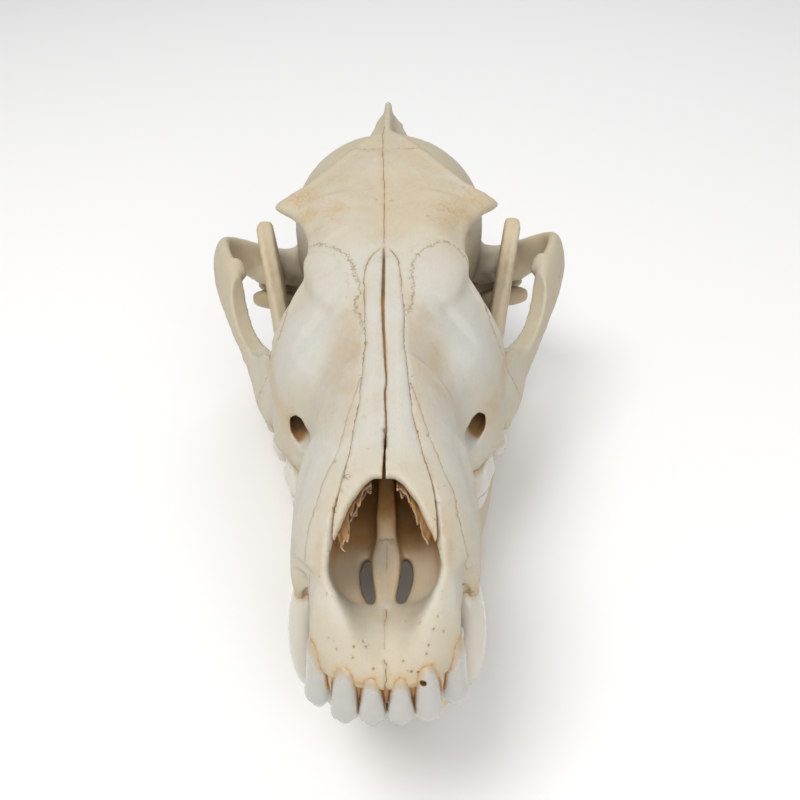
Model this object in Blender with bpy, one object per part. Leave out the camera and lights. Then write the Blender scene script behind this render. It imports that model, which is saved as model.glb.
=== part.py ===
"""A coyote skull, cleaned and dry: the cranium, the two halves of the lower jaw and all 42 teeth.

Everything is laid out in skull millimetres: x to the animal's left, y back from the front of the upper
jaw, z up from the rim of the upper tooth sockets. At the end the skull is turned to stand on its jaw.
"""

import math

import bmesh
import bpy
from mathutils import Euler, Matrix, Vector

MM = 0.001

STAND_PITCH = math.radians(10.6)  # nose up, resting on the jaw's belly and on both jaw angles
FOOT_FLAT = 0.6  # depth of the worn flats that it rests on
GAP = 0.35  # between a tooth and its socket
CHIN_GAP = 0.4  # between the two halves of the jaw
GRAIN = 1.0  # of the fine body that each bone grows from
CRANIUM_FACES = 2150  # before its holes are cut
JAW_FACES = 440

BONE = (0.80, 0.73, 0.60)
JAW_BONE = (0.78, 0.68, 0.51)
ENAMEL = (0.86, 0.83, 0.77)
BONE_ROUGHNESS = 0.55
ENAMEL_ROUGHNESS = 0.25
SHARP_FROM = math.radians(50)

# Sections across the skull: y, centre x, half width, bottom, widest height, top, how square the top is.
MUZZLE = [
    (-2.0, 0, 4.5, -2.2, -0.5, 2.5, 2.4),
    (-0.3, 0, 8.8, -2.4, 0.5, 7.2, 2.4),
    (3.5, 0, 12.6, -2.4, 2.6, 12.2, 2.4),
    (8.0, 0, 13.6, -2.2, 4.6, 17.2, 2.4),
    (12.0, 0, 14.9, -2.2, 7.0, 23.4, 2.4),
    (17.0, 0, 16.8, -2.2, 8.0, 26.6, 2.3),
    (24.0, 0, 16.6, -2.0, 9.0, 28.9, 2.3),
    (34.0, 0, 16.2, -1.8, 9.0, 31.4, 2.3),
    (46.0, 0, 16.0, -1.6, 8.0, 34.3, 2.2),
    (55.0, 0, 16.9, -1.6, 7.5, 36.7, 2.2),
    (60.0, 0, 19.4, -1.6, 7.0, 38.2, 2.1),
    (65.0, 0, 23.6, -1.6, 7.0, 39.6, 2.1),
    (70.0, 0, 26.0, -1.5, 7.5, 41.0, 2.05),
    (76.0, 0, 27.5, -1.2, 9.0, 43.0, 2.05),
    (83.0, 0, 28.6, -1.0, 11.0, 45.3, 2.05),
    (89.0, 0, 26.5, -0.5, 11.0, 47.0, 2.0),
    (95.0, 0, 21.5, 0.0, 8.0, 40.0, 2.0),
    (101.0, 0, 17.0, 2.0, 6.0, 12.0, 2.0),
]
FOREHEAD = [
    (68.0, 0, 12.0, 32.0, 36.5, 40.3, 2.0),
    (78.0, 0, 17.0, 31.0, 38.0, 43.5, 2.0),
    (87.0, 0, 18.8, 32.0, 40.0, 46.5, 2.0),
    (96.0, 0, 18.7, 33.0, 42.3, 49.6, 2.0),
    (102.0, 0, 20.2, 36.0, 44.6, 51.6, 2.0),
    (106.0, 0, 23.0, 39.0, 46.8, 52.8, 2.0),
    (109.0, 0, 26.8, 41.0, 48.2, 53.6, 2.0),
    (110.8, 0, 28.4, 42.0, 48.4, 54.1, 2.0),
    (112.4, 0, 26.4, 42.0, 49.0, 54.5, 2.0),
    (115.5, 0, 22.4, 42.0, 50.8, 55.4, 2.0),
    (120.0, 0, 19.4, 42.0, 52.6, 56.6, 2.0),
    (126.0, 0, 16.6, 42.0, 54.2, 57.9, 2.0),
    (132.0, 0, 13.0, 42.0, 56.0, 59.0, 2.0),
    (138.0, 0, 8.8, 42.0, 57.8, 60.0, 2.0),
    (144.0, 0, 4.6, 44.0, 59.4, 60.8, 2.0),
    (149.0, 0, 1.6, 48.0, 60.2, 61.1, 2.0),
]
ORBIT_WALL = [
    (78.0, 0, 14.0, 5.0, 24.0, 40.0, 2.0),
    (90.0, 0, 13.2, 6.0, 26.0, 43.0, 2.0),
    (102.0, 0, 12.4, 6.0, 28.0, 46.0, 2.0),
    (113.0, 0, 13.0, 6.0, 30.0, 49.0, 2.0),
    (124.0, 0, 16.0, 5.0, 30.0, 51.0, 2.0),
]
BRAINCASE = [
    (111.0, 0, 12.0, 12.0, 33.0, 50.0, 2.0),
    (120.0, 0, 16.6, 8.0, 32.0, 54.2, 2.0),
    (130.0, 0, 22.0, 5.0, 32.0, 57.6, 2.0),
    (141.0, 0, 26.2, 4.0, 33.0, 60.0, 2.0),
    (152.0, 0, 27.6, 4.0, 33.0, 59.0, 2.0),
    (162.0, 0, 27.2, 4.0, 32.0, 56.2, 2.0),
    (172.0, 0, 24.6, 4.0, 30.0, 51.6, 2.0),
    (181.0, 0, 18.6, 5.0, 27.0, 45.0, 2.0),
    (186.0, 0, 12.0, 9.0, 25.0, 39.0, 2.0),
]
SKULL_BASE = [
    (108.0, 0, 6.0, 4.0, 7.0, 12.0, 2.0),
    (130.0, 0, 7.0, 3.0, 6.0, 12.0, 2.0),
    (160.0, 0, 8.5, 1.5, 5.0, 12.0, 2.0),
    (184.0, 0, 6.5, 2.0, 5.0, 9.0, 2.0),
]
DENTARY = [
    (2.6, 2.2, 2.4, -12.4, -11.0, -9.6, 2.0),
    (5.0, 3.2, 3.6, -16.2, -12.8, -9.4, 2.0),
    (9.0, 4.6, 5.4, -20.2, -15.0, -9.8, 2.0),
    (14.0, 5.6, 6.4, -23.8, -17.2, -10.6, 2.0),
    (20.0, 6.2, 6.8, -26.2, -18.8, -11.4, 2.0),
    (28.0, 7.2, 6.4, -27.8, -19.6, -12.0, 2.0),
    (33.0, 8.3, 5.0, -28.3, -20.1, -12.2, 2.0),
    (38.0, 9.4, 4.3, -28.8, -20.6, -12.4, 2.0),
    (50.0, 12.4, 4.1, -30.0, -21.2, -12.4, 2.0),
    (62.0, 15.4, 4.3, -31.2, -21.4, -12.2, 2.0),
    (75.0, 18.4, 4.7, -31.4, -21.0, -11.4, 2.0),
    (88.0, 21.4, 4.6, -30.2, -19.6, -9.6, 2.0),
    (99.0, 23.8, 4.2, -28.0, -17.6, -7.0, 2.0),
    (110.0, 26.0, 3.4, -25.0, -14.0, -3.0, 2.0),
    (122.0, 28.4, 2.6, -20.8, -11.0, -1.0, 2.0),
    (134.0, 30.4, 2.2, -17.8, -10.0, -2.0, 2.0),
    (143.0, 31.2, 1.8, -17.0, -10.0, -4.0, 2.0),
]

# Level sections up the back of the skull: z, half width, y, half depth, how far the sides bend forward.
OCCIPUT = [
    (4.0, 21.0, 175.0, 4.0, 0.012),
    (12.0, 27.4, 177.0, 4.5, 0.0125),
    (22.0, 26.2, 180.5, 4.5, 0.0125),
    (32.0, 22.0, 184.0, 4.2, 0.0125),
    (41.0, 14.6, 188.0, 3.8, 0.0125),
    (48.0, 7.6, 191.2, 3.0, 0.0125),
    (54.0, 2.8, 193.6, 2.2, 0.01),
    (59.5, 1.1, 195.6, 1.2, 0.0),
]

# Bars along a path: x, y, z, half thickness, half height.
ARCH = [
    (23.0, 80.0, 12.0, 6.0, 10.5),
    (27.6, 87.0, 13.0, 4.4, 9.2),
    (31.4, 95.0, 14.8, 3.1, 6.8),
    (36.0, 105.0, 17.8, 2.7, 5.6),
    (40.6, 115.0, 21.8, 2.5, 5.8),
    (44.0, 124.0, 25.2, 2.4, 6.4),
    (46.6, 132.0, 27.8, 2.2, 5.8),
    (47.6, 139.5, 28.4, 2.2, 5.0),
    (45.0, 146.2, 26.0, 2.6, 4.8),
    (39.0, 150.4, 22.4, 3.2, 5.0),
    (32.0, 151.8, 20.4, 4.2, 5.4),
    (25.0, 152.5, 20.5, 5.5, 7.0),
]
ARCH_SQUARENESS = 2.4
ARCH_LEAN = 0.22  # the arch's upper edge lies this much nearer the middle, for each mm of height
ORBIT_SPUR = [(40.5, 121.0, 27.0, 2.6, 2.5), (41.2, 123.0, 30.0, 2.6, 1.6), (41.6, 124.0, 32.0, 1.6, 1.0)]
NUCHAL_CREST = [
    (0.0, 195.0, 59.0, 1.0, 1.8),
    (3.0, 193.6, 53.4, 1.1, 2.2),
    (8.0, 190.8, 46.8, 1.2, 2.4),
    (15.5, 185.4, 39.0, 1.3, 2.6),
    (22.4, 178.8, 29.6, 1.4, 2.8),
    (26.8, 173.0, 20.0, 1.7, 3.0),
    (28.6, 169.0, 11.5, 2.4, 3.0),
    (27.3, 168.0, 5.5, 2.6, 2.6),
]
JAW_STOP = [(26.0, 157.4, 13.5, 2.0, 4.0), (33.0, 157.0, 11.8, 1.9, 4.8), (40.0, 155.5, 15.5, 1.5, 3.0)]
NECK_SPUR = [(20.0, 173.0, 9.0, 4.5, 3.0), (20.5, 176.0, 0.0, 3.2, 2.2), (20.0, 177.5, -6.5, 1.6, 1.3)]
CORONOID_EDGE = [
    (24.6, 97.0, -9.0, 2.6, 3.0),
    (26.4, 104.0, 0.5, 2.2, 2.4),
    (29.0, 113.0, 11.5, 1.8, 2.2),
    (31.8, 122.0, 22.5, 1.6, 2.0),
    (34.4, 130.5, 31.6, 1.4, 1.8),
    (35.9, 137.0, 35.6, 1.3, 1.5),
    (36.8, 143.5, 35.2, 1.0, 1.3),
]
CONDYLE = [
    (26.2, 151.2, 7.4, 2.0, 2.2),
    (30.0, 150.8, 9.2, 2.9, 3.1),
    (35.0, 150.0, 10.4, 3.1, 3.2),
    (39.6, 149.4, 11.0, 2.7, 2.7),
    (42.0, 149.0, 11.2, 1.4, 1.5),
]
JAW_ANGLE = [
    (31.0, 136.0, -14.6, 2.4, 3.2),
    (31.6, 144.0, -15.8, 2.6, 3.8),
    (32.0, 150.5, -14.8, 2.4, 3.4),
    (32.2, 156.5, -11.0, 1.3, 1.6),
]

# Egg shapes: centre, radii, turn about the vertical in degrees.
NECK_JOINT = ((9.8, 184.0, 8.5), (5.4, 6.0, 7.5), -22)
EAR_CAPSULE = ((15.5, 159.5, 0.8), (8.0, 12.5, 8.8), -12)
JAW_SOCKET = ((34.0, 151.5, 19.5), (10.0, 6.0, 4.4), 0)
MASTOID = ((26.5, 168.5, 9.0), (4.5, 5.5, 7.0), 0)
ORBIT = ((31.5, 101.0, 32.5), (14.5, 22.5, 17.0), 6)
BEHIND_ORBIT = ((23.5, 118.0, 36.0), (8.0, 14.0, 13.0), 0)
LOWER_CANINE_BED = ((15.8, 11.2, 0.0), (4.3, 3.2, 7.2), 0)
JAW_MUSCLE_BED = ((38.6, 130.0, 3.0), (8.0, 15.0, 15.0), -8)

# Plates with an outline in the skull's long plane, y and z, between two values of x.
SAGITTAL_CREST = [
    (134, 55), (142, 59.6), (152, 61.6), (170, 61.9), (188, 61.6),
    (196.4, 61.2), (196.8, 57), (191, 47), (176, 42), (150, 50),
]
SAGITTAL_SIDES = (-1.1, 1.1)
PTERYGOID = [(94, 2), (104, 0.5), (118, 0.6), (129, -0.6), (132, 0.8), (129, 8), (127, 15), (94, 17)]
PTERYGOID_SIDES = (7.6, 9.8)
RAMUS = [
    (96, -12), (99, -6), (107, 5), (116, 16), (124, 26), (131, 33.5), (136.5, 36.6), (142, 37.0),
    (146.5, 34.0), (147.0, 28), (145.2, 20), (144.0, 13.5), (145.5, 9.8), (149.5, 9.0), (151.0, 4.0),
    (147.5, -2.5), (148.0, -8.0), (151.0, -13.0), (146.0, -17.5), (138.0, -17.0), (126, -19.0),
    (112, -23.5), (100, -26),
]
RAMUS_SIDES = (9.2, 12.8)
RAMUS_LEAN = (0.135, 0.135)  # outward for each mm back, and for each mm up

# Hollows under the skull.
PALATE = [
    (7.0, 0, 6.5, -8.0, -4.0, 0.6, 2.6),
    (20.0, 0, 9.0, -8.0, -4.0, 2.0, 2.6),
    (45.0, 0, 10.4, -8.0, -4.0, 2.8, 2.6),
    (62.0, 0, 13.0, -8.0, -4.0, 3.0, 2.6),
    (78.0, 0, 17.0, -8.0, -4.0, 3.4, 2.6),
    (92.0, 0, 15.5, -8.0, -4.0, 3.4, 2.6),
    (108.0, 0, 13.0, -8.0, -4.0, 2.6, 2.6),
]
THROAT = [
    (95.0, 0, 5.5, -3.0, 3.0, 9.0, 3.0),
    (104.0, 0, 7.0, -3.0, 3.0, 10.0, 3.0),
    (120.0, 0, 7.2, -3.0, 2.0, 8.0, 3.0),
    (140.0, 0, 7.0, -4.0, -1.0, 4.0, 3.0),
]
# The nose: its open bowl in front, the cavity behind, the notch above and the slits in its floor.
NOSE_BOWL = [
    (-8.0, 0, 4.0, 1.0, 20.0, 40.0, 2.0),
    (-1.5, 0, 5.4, 1.0, 20.0, 40.0, 2.0),
    (0.0, 0, 6.0, 2.6, 20.0, 40.0, 2.0),
    (2.0, 0, 6.8, 4.3, 19.0, 40.0, 2.0),
    (4.5, 0, 8.0, 5.2, 19.0, 40.0, 2.0),
    (8.0, 0, 9.4, 5.5, 17.0, 40.0, 2.0),
    (9.4, 0, 9.8, 5.5, 16.0, 34.0, 2.0),
    (10.4, 0, 8.0, 6.2, 15.0, 20.0, 2.0),
]
NASAL_CAVITY = [  # y, half width, floor, ridge top, widest height, roof
    (7.0, 4.5, 9.5, 9.7, 15.0, 20.0),
    (9.5, 8.4, 6.2, 6.6, 15.0, 20.4),
    (12.0, 9.9, 5.3, 5.8, 14.0, 21.6),
    (16.0, 10.5, 5.2, 6.0, 14.0, 24.2),
    (21.0, 10.3, 5.2, 6.4, 14.0, 26.2),
    (26.0, 10.0, 5.4, 8.8, 14.0, 27.6),
    (28.0, 10.0, 5.6, 11.5, 14.0, 28.2),
    (36.0, 10.4, 6.2, 15.0, 15.0, 30.2),
    (48.0, 11.2, 7.6, 19.0, 17.0, 33.2),
    (60.0, 12.0, 9.6, 22.0, 20.0, 36.2),
    (72.0, 11.5, 12.0, 24.0, 23.0, 39.4),
    (82.0, 8.0, 14.0, 22.0, 25.0, 38.0),
]
RIDGE_HALF = 1.7  # half the width of the ridge's top
NOSE_NOTCH = [
    (0.0, 17.7), (1.6, 18.3), (3.2, 17.2), (5.2, 14.8), (6.9, 12.2), (8.2, 10.6), (8.9, 8.0), (7.0, -8.0),
]
NOTCH_HEIGHTS = (13.0, 45.0)
FISSURE = [  # x, y around the left palatine fissure, level with the floor of the nose
    (2.3, 10.6), (3.4, 10.9), (4.3, 13.5), (5.0, 17.0), (5.2, 20.5), (4.4, 23.4),
    (3.2, 24.7), (2.6, 23.5), (2.6, 20.0), (2.2, 16.5), (1.7, 13.2), (1.7, 11.3),
]
FISSURE_HEIGHTS = (9.0, 5.5, -2.0)
FISSURE_SLOPE = 0.8  # it runs back this much for each mm down
BRAIN = [
    (121.0, 0, 6.0, 20.0, 33.0, 42.0, 2.0),
    (128.0, 0, 15.0, 12.0, 32.0, 50.0, 2.0),
    (142.0, 0, 24.5, 8.0, 32.0, 55.0, 2.0),
    (156.0, 0, 26.0, 7.5, 31.0, 55.0, 2.0),
    (170.0, 0, 21.0, 8.0, 29.0, 48.0, 2.0),
    (178.0, 0, 11.0, 10.0, 24.0, 38.0, 2.0),
]
SPINE_HOLE = [(0, 170.0, 17.0, 7.0, 6.4), (0, 184.0, 16.0, 7.2, 6.6), (0, 200.0, 14.0, 8.0, 7.4)]
NOSE_TO_THROAT = [(0, 74.0, 17.0, 6.0, 5.0), (0, 92.0, 11.0, 6.0, 4.5), (0, 112.0, 4.0, 6.5, 4.5)]
CHEEK_CANAL = [
    (18.6, 51.0, 10.8, 1.8, 2.8),
    (19.4, 64.0, 13.0, 2.0, 2.9),
    (23.4, 77.0, 17.0, 2.0, 2.8),
    (27.4, 90.0, 20.4, 2.4, 3.2),
]
EAR_HOLE = [(40.0, 162.5, 9.5, 3.0, 2.6), (22.6, 161.2, 8.6, 2.7, 2.2)]

# Cone-like teeth along a path from root to tip: x, y, z, half width, half depth.
UPPER_FRONT_TEETH = {
    "first_incisor": [
        (2.2, 3.0, 2.2, 1.2, 1.3), (2.25, 0.9, -0.6, 1.7, 2.1), (2.35, -0.9, -3.6, 1.95, 1.9),
        (2.4, -1.6, -6.8, 1.95, 1.2), (2.4, -1.7, -9.0, 1.4, 0.5),
    ],
    "second_incisor": [
        (6.1, 4.2, 2.6, 1.3, 1.4), (6.6, 1.9, -0.4, 1.85, 2.2), (6.95, 0.0, -3.8, 2.15, 2.1),
        (7.15, -0.8, -7.2, 2.1, 1.3), (7.2, -0.8, -9.3, 1.5, 0.5),
    ],
    "third_incisor": [
        (10.0, 7.8, 4.0, 1.4, 1.7), (10.7, 5.8, -0.2, 2.1, 2.6), (11.4, 4.2, -4.2, 2.4, 2.5),
        (11.8, 3.6, -8.0, 2.0, 1.6), (11.9, 3.9, -10.4, 0.9, 0.6),
    ],
    "canine": [
        (12.8, 23.0, 10.0, 2.0, 3.0), (14.2, 18.9, 2.0, 2.8, 4.4), (14.9, 17.2, -3.0, 3.0, 4.4),
        (15.3, 16.4, -9.0, 2.6, 3.4), (15.4, 17.0, -15.0, 1.7, 2.1), (15.2, 18.0, -19.2, 0.5, 0.6),
    ],
}
LOWER_FRONT_TEETH = {
    "first_incisor": [
        (1.75, 6.6, -14.0, 0.9, 1.2), (1.8, 4.9, -9.4, 1.2, 1.6),
        (1.85, 4.2, -6.6, 1.45, 1.4), (1.85, 3.9, -3.8, 1.2, 0.6),
    ],
    "second_incisor": [
        (4.1, 7.8, -14.0, 0.9, 1.3), (4.5, 5.9, -9.4, 1.3, 1.7),
        (4.7, 5.2, -6.4, 1.6, 1.5), (4.8, 4.9, -3.2, 1.3, 0.7),
    ],
    "third_incisor": [
        (6.2, 9.8, -14.5, 0.8, 1.3), (6.9, 8.4, -9.8, 1.25, 1.7),
        (7.3, 7.8, -6.4, 1.55, 1.6), (7.5, 7.4, -2.8, 1.3, 0.8),
    ],
    "canine": [
        (8.0, 21.5, -20.5, 1.9, 3.0), (9.2, 15.8, -13.0, 2.2, 3.8), (10.2, 12.7, -7.6, 1.8, 2.9),
        (12.2, 11.0, -2.4, 1.4, 1.8), (13.6, 10.8, 1.4, 0.6, 0.8),
    ],
}
# Cheek teeth: centre x, y, rim z, length, width, height, turn in degrees, and how much longer the outer
# side is than the inner; then the cusps: along, across, height.
UPPER_CHEEK_TEETH = {
    "first_premolar": (14.0, 27.6, -1.6, 5.4, 3.4, 4.4, 0, 0.0, [(-0.1, 0.1, 1.0)]),
    "second_premolar": (14.0, 36.8, -1.6, 10.6, 4.2, 6.2, 2, 0.0, [(-0.1, 0.1, 1.0), (0.7, 0.1, 0.45)]),
    "third_premolar": (14.6, 49.2, -1.6, 11.8, 4.6, 7.2, 6, 0.0, [(-0.1, 0.1, 1.0), (0.6, 0.1, 0.55)]),
    "fourth_premolar": (
        19.9, 66.0, -1.4, 19.0, 7.6, 10.6, 17, 0.1,
        [(-0.2, 0.25, 1.0), (0.6, 0.25, 0.72), (-0.8, -0.6, 0.4)],
    ),
    "first_molar": (
        22.0, 82.6, -1.0, 11.4, 13.6, 6.6, 4, 0.25,
        [(-0.4, 0.55, 1.0), (0.45, 0.55, 0.85), (0.1, -0.5, 0.62)],
    ),
    "second_molar": (
        20.0, 93.0, -0.8, 7.2, 9.8, 4.2, -8, 0.2,
        [(-0.35, 0.5, 1.0), (0.4, 0.5, 0.8), (0.0, -0.5, 0.65)],
    ),
}
LOWER_CHEEK_TEETH = {
    "first_premolar": (9.2, 22.9, -11.6, 4.2, 3.0, 3.6, 8, 0.0, [(-0.2, 0.0, 1.0)]),
    "second_premolar": (9.6, 31.4, -12.3, 9.0, 3.8, 5.2, 8, 0.0, [(-0.15, 0.0, 1.0), (0.65, 0.0, 0.5)]),
    "third_premolar": (11.2, 43.2, -12.2, 10.2, 4.2, 5.8, 12, 0.0, [(-0.15, 0.0, 1.0), (0.6, 0.0, 0.55)]),
    "fourth_premolar": (13.6, 56.2, -12.2, 11.6, 4.8, 7.0, 12, 0.0, [(-0.15, 0.0, 1.0), (0.5, 0.0, 0.65)]),
    "first_molar": (
        17.0, 74.0, -11.8, 20.2, 7.0, 9.6, 12, 0.0,
        [(-0.15, 0.2, 1.0), (-0.7, 0.2, 0.75), (0.6, 0.3, 0.55)],
    ),
    "second_molar": (
        20.6, 90.0, -9.8, 8.8, 6.2, 4.4, 12, 0.0,
        [(-0.4, 0.4, 1.0), (-0.4, -0.4, 0.9), (0.5, 0.3, 0.75)],
    ),
    "third_molar": (22.6, 97.6, -7.8, 4.4, 4.0, 2.2, 12, 0.0, [(0.0, 0.0, 1.0)]),
}
ROOT_DEPTH = 3.6  # how far a cheek tooth sits in its socket
LEAST_CROWN = 0.34  # the lowest part of a chewing face, as a share of the crown's height
SHARPEST = 1.6  # a socket's corner moves out by up to this many gaps


def clear_scene():
    for thing in list(bpy.data.objects):
        bpy.data.objects.remove(thing)


def eased(rows, steps):
    """The rows, with smooth rows put in between on a Catmull-Rom curve."""
    out = []
    last = len(rows) - 1
    for i in range(last):
        before, start, end, after = (rows[min(max(i + k, 0), last)] for k in (-1, 0, 1, 2))
        for s in range(steps):
            t = s / steps
            row = []
            for a, b, c, d in zip(before, start, end, after):
                bend = (2 * a - 5 * b + 4 * c - d) * t**2 + (3 * b - a - 3 * c + d) * t**3
                row.append(b + 0.5 * ((c - a) * t + bend))
            out.append(row)
    out.append(list(rows[last]))
    return out


def squared(value, power):
    """A sine or cosine for an oval that is squarer than an ellipse where power is over 2."""
    return math.copysign(abs(value) ** (2 / power), value)


def turns(points):
    return [2 * math.pi * k / points for k in range(points)]


def skin(rings):
    """A closed body through rings of points, with flat ends."""
    body = bmesh.new()
    loops = [[body.verts.new(Vector(point) * MM) for point in ring] for ring in rings]
    for near, far in zip(loops, loops[1:]):
        for i in range(len(near)):
            j = (i + 1) % len(near)
            body.faces.new((near[i], near[j], far[j], far[i]))
    body.faces.new(loops[0])
    body.faces.new(loops[-1])
    bmesh.ops.recalc_face_normals(body, faces=body.faces)
    return body


def cross_loft(rows, side=1, points=28, low_power=2.0, steps=4):
    """A body through sections across the skull. low_power is how square their undersides are."""
    rings = []
    for y, centre, wide, bottom, middle, top, high_power in eased(rows, steps):
        ring = []
        for a in turns(points):
            high = math.sin(a) > 0
            power = high_power if high else low_power
            reach = top - middle if high else middle - bottom
            across = centre * side + wide * squared(math.cos(a), power)
            ring.append((across, y, middle + reach * squared(math.sin(a), power)))
        rings.append(ring)
    return skin(rings)


def level_loft(rows, points=28, power=2.4, steps=4):
    """A body through level sections whose sides bend forward."""
    rings = []
    for z, wide, middle, deep, bend in eased(rows, steps):
        ring = []
        for a in turns(points):
            x = wide * squared(math.cos(a), power)
            ring.append((x, middle + deep * math.sin(a) - bend * x * x, z))
        rings.append(ring)
    return skin(rings)


def swept(rows, side=1, points=14, power=2.0, tall_toward=(0, 0, 1), lean=0.0, steps=4):
    """A bar along a path. Its height runs as near to tall_toward as the path lets it."""
    rows = eased([(row[0] * side, *row[1:]) for row in rows], steps)
    rings = []
    for i, (x, y, z, thick, tall) in enumerate(rows):
        ahead = Vector(rows[min(i + 1, len(rows) - 1)][:3]) - Vector(rows[max(i - 1, 0)][:3])
        across = ahead.cross(Vector(tall_toward)).normalized()
        up = across.cross(ahead).normalized()
        ring = []
        for a in turns(points):
            rise = tall * squared(math.sin(a), power)
            point = Vector((x, y, z)) + across * thick * squared(math.cos(a), power) + up * rise
            point.x -= lean * side * rise
            ring.append(point)
        rings.append(ring)
    return skin(rings)


def egg(shape, side=1):
    centre, radii, turn = shape
    body = bmesh.new()
    bmesh.ops.create_icosphere(body, subdivisions=3, radius=1)
    place = Vector((centre[0] * side, centre[1], centre[2]))
    turned = Euler((0, 0, math.radians(turn * side)))
    body.transform(Matrix.Scale(MM, 4) @ Matrix.LocRotScale(place, turned, Vector(radii)))
    return body


def plate(rims):
    """A body between two like outlines that may be hollow-sided."""
    body = skin(rims)
    bmesh.ops.triangulate(body, faces=[face for face in body.faces if len(face.verts) > 4])
    return body


def long_plate(outline, sides, side=1, lean=(0.0, 0.0)):
    """A plate with a smooth outline of y and z, whose x leans outward with them."""
    rim = eased([*outline, outline[0]], 3)[:-1]
    return plate([[((x + lean[0] * y + lean[1] * z) * side, y, z) for y, z in rim] for x in sides])


def block(xs, ys, zs):
    corners = ((0, 0), (1, 0), (1, 1), (0, 1))
    return skin([[(xs[i], ys[j], z) for i, j in corners] for z in zs])


def as_object(name, bodies):
    """One object that holds all the bodies, still overlapping."""
    whole = bmesh.new()
    for body in bodies:
        passing = bpy.data.meshes.new("passing")
        body.to_mesh(passing)
        body.free()
        whole.from_mesh(passing)
        bpy.data.meshes.remove(passing)
    mesh = bpy.data.meshes.new(name)
    whole.to_mesh(mesh)
    whole.free()
    thing = bpy.data.objects.new(name, mesh)
    bpy.context.scene.collection.objects.link(thing)
    return thing


def settled(thing):
    """The object with its modifiers applied."""
    graph = bpy.context.evaluated_depsgraph_get()
    graph.update()
    mesh = bpy.data.meshes.new_from_object(thing.evaluated_get(graph))
    thing.modifiers.clear()
    thing.data = mesh
    return thing


def grown_together(thing):
    remesh = thing.modifiers.new("Grow together", "REMESH")
    remesh.mode = "VOXEL"
    remesh.voxel_size = GRAIN * MM
    return settled(thing)


def softened(thing, passes):
    smooth = thing.modifiers.new("Soften", "SMOOTH")
    smooth.factor = 0.5
    smooth.iterations = passes
    return settled(thing)


def carved(thing, cutter, crossing=False):
    """The object less the cutter, which is used up. crossing: the cutter's bodies cross each other."""
    cut = thing.modifiers.new("Carve", "BOOLEAN")
    cut.operation = "DIFFERENCE"
    cut.object = cutter
    cut.use_self = crossing
    settled(thing)
    bpy.data.objects.remove(cutter)
    return thing


def thinned(thing, faces):
    """The object with about this many triangles."""
    thinner = thing.modifiers.new("Thin out", "DECIMATE")
    triangles = sum(len(face.vertices) - 2 for face in thing.data.polygons)
    thinner.ratio = faces / triangles
    return settled(thing)


def grown_bone(name, forms, hollows, faces, first_passes):
    """A bone grown together from its forms, scooped out by the hollows, smoothed and thinned out."""
    bone = softened(grown_together(as_object(name, forms)), first_passes)
    carved(bone, grown_together(as_object("hollows", hollows)))
    softened(grown_together(bone), 5)
    return thinned(bone, faces)


def cranium_forms():
    forms = [
        cross_loft(MUZZLE, low_power=3.2),
        cross_loft(FOREHEAD, low_power=1.3),
        cross_loft(ORBIT_WALL),
        cross_loft(BRAINCASE, low_power=2.6),
        cross_loft(SKULL_BASE, low_power=3.0),
        level_loft(OCCIPUT),
        long_plate(SAGITTAL_CREST, SAGITTAL_SIDES),
    ]
    for side in (1, -1):
        forms += [
            swept(ARCH, side, power=ARCH_SQUARENESS, lean=ARCH_LEAN),
            swept(ORBIT_SPUR, side),
            swept(NUCHAL_CREST, side, tall_toward=(0, 1, 0)),
            swept(JAW_STOP, side),
            swept(NECK_SPUR, side, tall_toward=(0, 1, 0)),
            egg(NECK_JOINT, side),
            egg(EAR_CAPSULE, side),
            egg(JAW_SOCKET, side),
            egg(MASTOID, side),
            long_plate(PTERYGOID, PTERYGOID_SIDES, side),
        ]
    return forms


def cranium_hollows():
    hollows = [cross_loft(PALATE, low_power=4.0), cross_loft(THROAT), cross_loft(NOSE_BOWL, low_power=2.2)]
    for side in (1, -1):
        hollows += [egg(ORBIT, side), egg(BEHIND_ORBIT, side), egg(LOWER_CANINE_BED, side)]
        hollows.append(swept(CHEEK_CANAL, side))
    return hollows


def nasal_cavity():
    """Two passages under one roof, with a ridge between them that rises towards the back."""
    rings = []
    for y, wide, floor, ridge, middle, roof in NASAL_CAVITY:
        half = [
            (0.0, ridge),
            (RIDGE_HALF, ridge - 0.3),
            (RIDGE_HALF + 0.7, min(ridge - 0.4, floor + 0.4)),
            (0.55 * wide, floor),
            (0.86 * wide, floor + 0.22 * (middle - floor)),
            (wide, middle),
            (0.9 * wide, middle + 0.5 * (roof - middle)),
            (0.66 * wide, middle + 0.82 * (roof - middle)),
            (0.3 * wide, roof - 0.3),
            (0.0, roof),
        ]
        rings.append([(x, y, z) for x, z in half] + [(-x, y, z) for x, z in reversed(half[1:-1])])
    return skin(rings)


def nose_notch():
    """The gap between the pointed tips of the nasal bones."""
    rim = NOSE_NOTCH + [(-x, y) for x, y in reversed(NOSE_NOTCH[1:])]
    return plate([[(x, y, z) for x, y in rim] for z in NOTCH_HEIGHTS])


def fissure(side):
    """A slit through the floor of the nose into the mouth."""
    level = FISSURE_HEIGHTS[1]
    rings = [[(x * side, y - FISSURE_SLOPE * (z - level), z) for x, y in FISSURE] for z in FISSURE_HEIGHTS]
    return skin(rings)


def cranium_openings():
    openings = [
        nasal_cavity(),
        nose_notch(),
        cross_loft(BRAIN, points=14, steps=1),
        swept(SPINE_HOLE, points=12, steps=1),
        swept(NOSE_TO_THROAT, points=10, steps=1),
    ]
    for side in (1, -1):
        openings += [
            fissure(side),
            swept(EAR_HOLE, side, points=8, steps=1),
        ]
    return openings


def jaw_forms(side):
    return [
        cross_loft(DENTARY, side),
        long_plate(RAMUS, RAMUS_SIDES, side, RAMUS_LEAN),
        swept(CORONOID_EDGE, side),
        swept(CONDYLE, side),
        swept(JAW_ANGLE, side),
    ]


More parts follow.
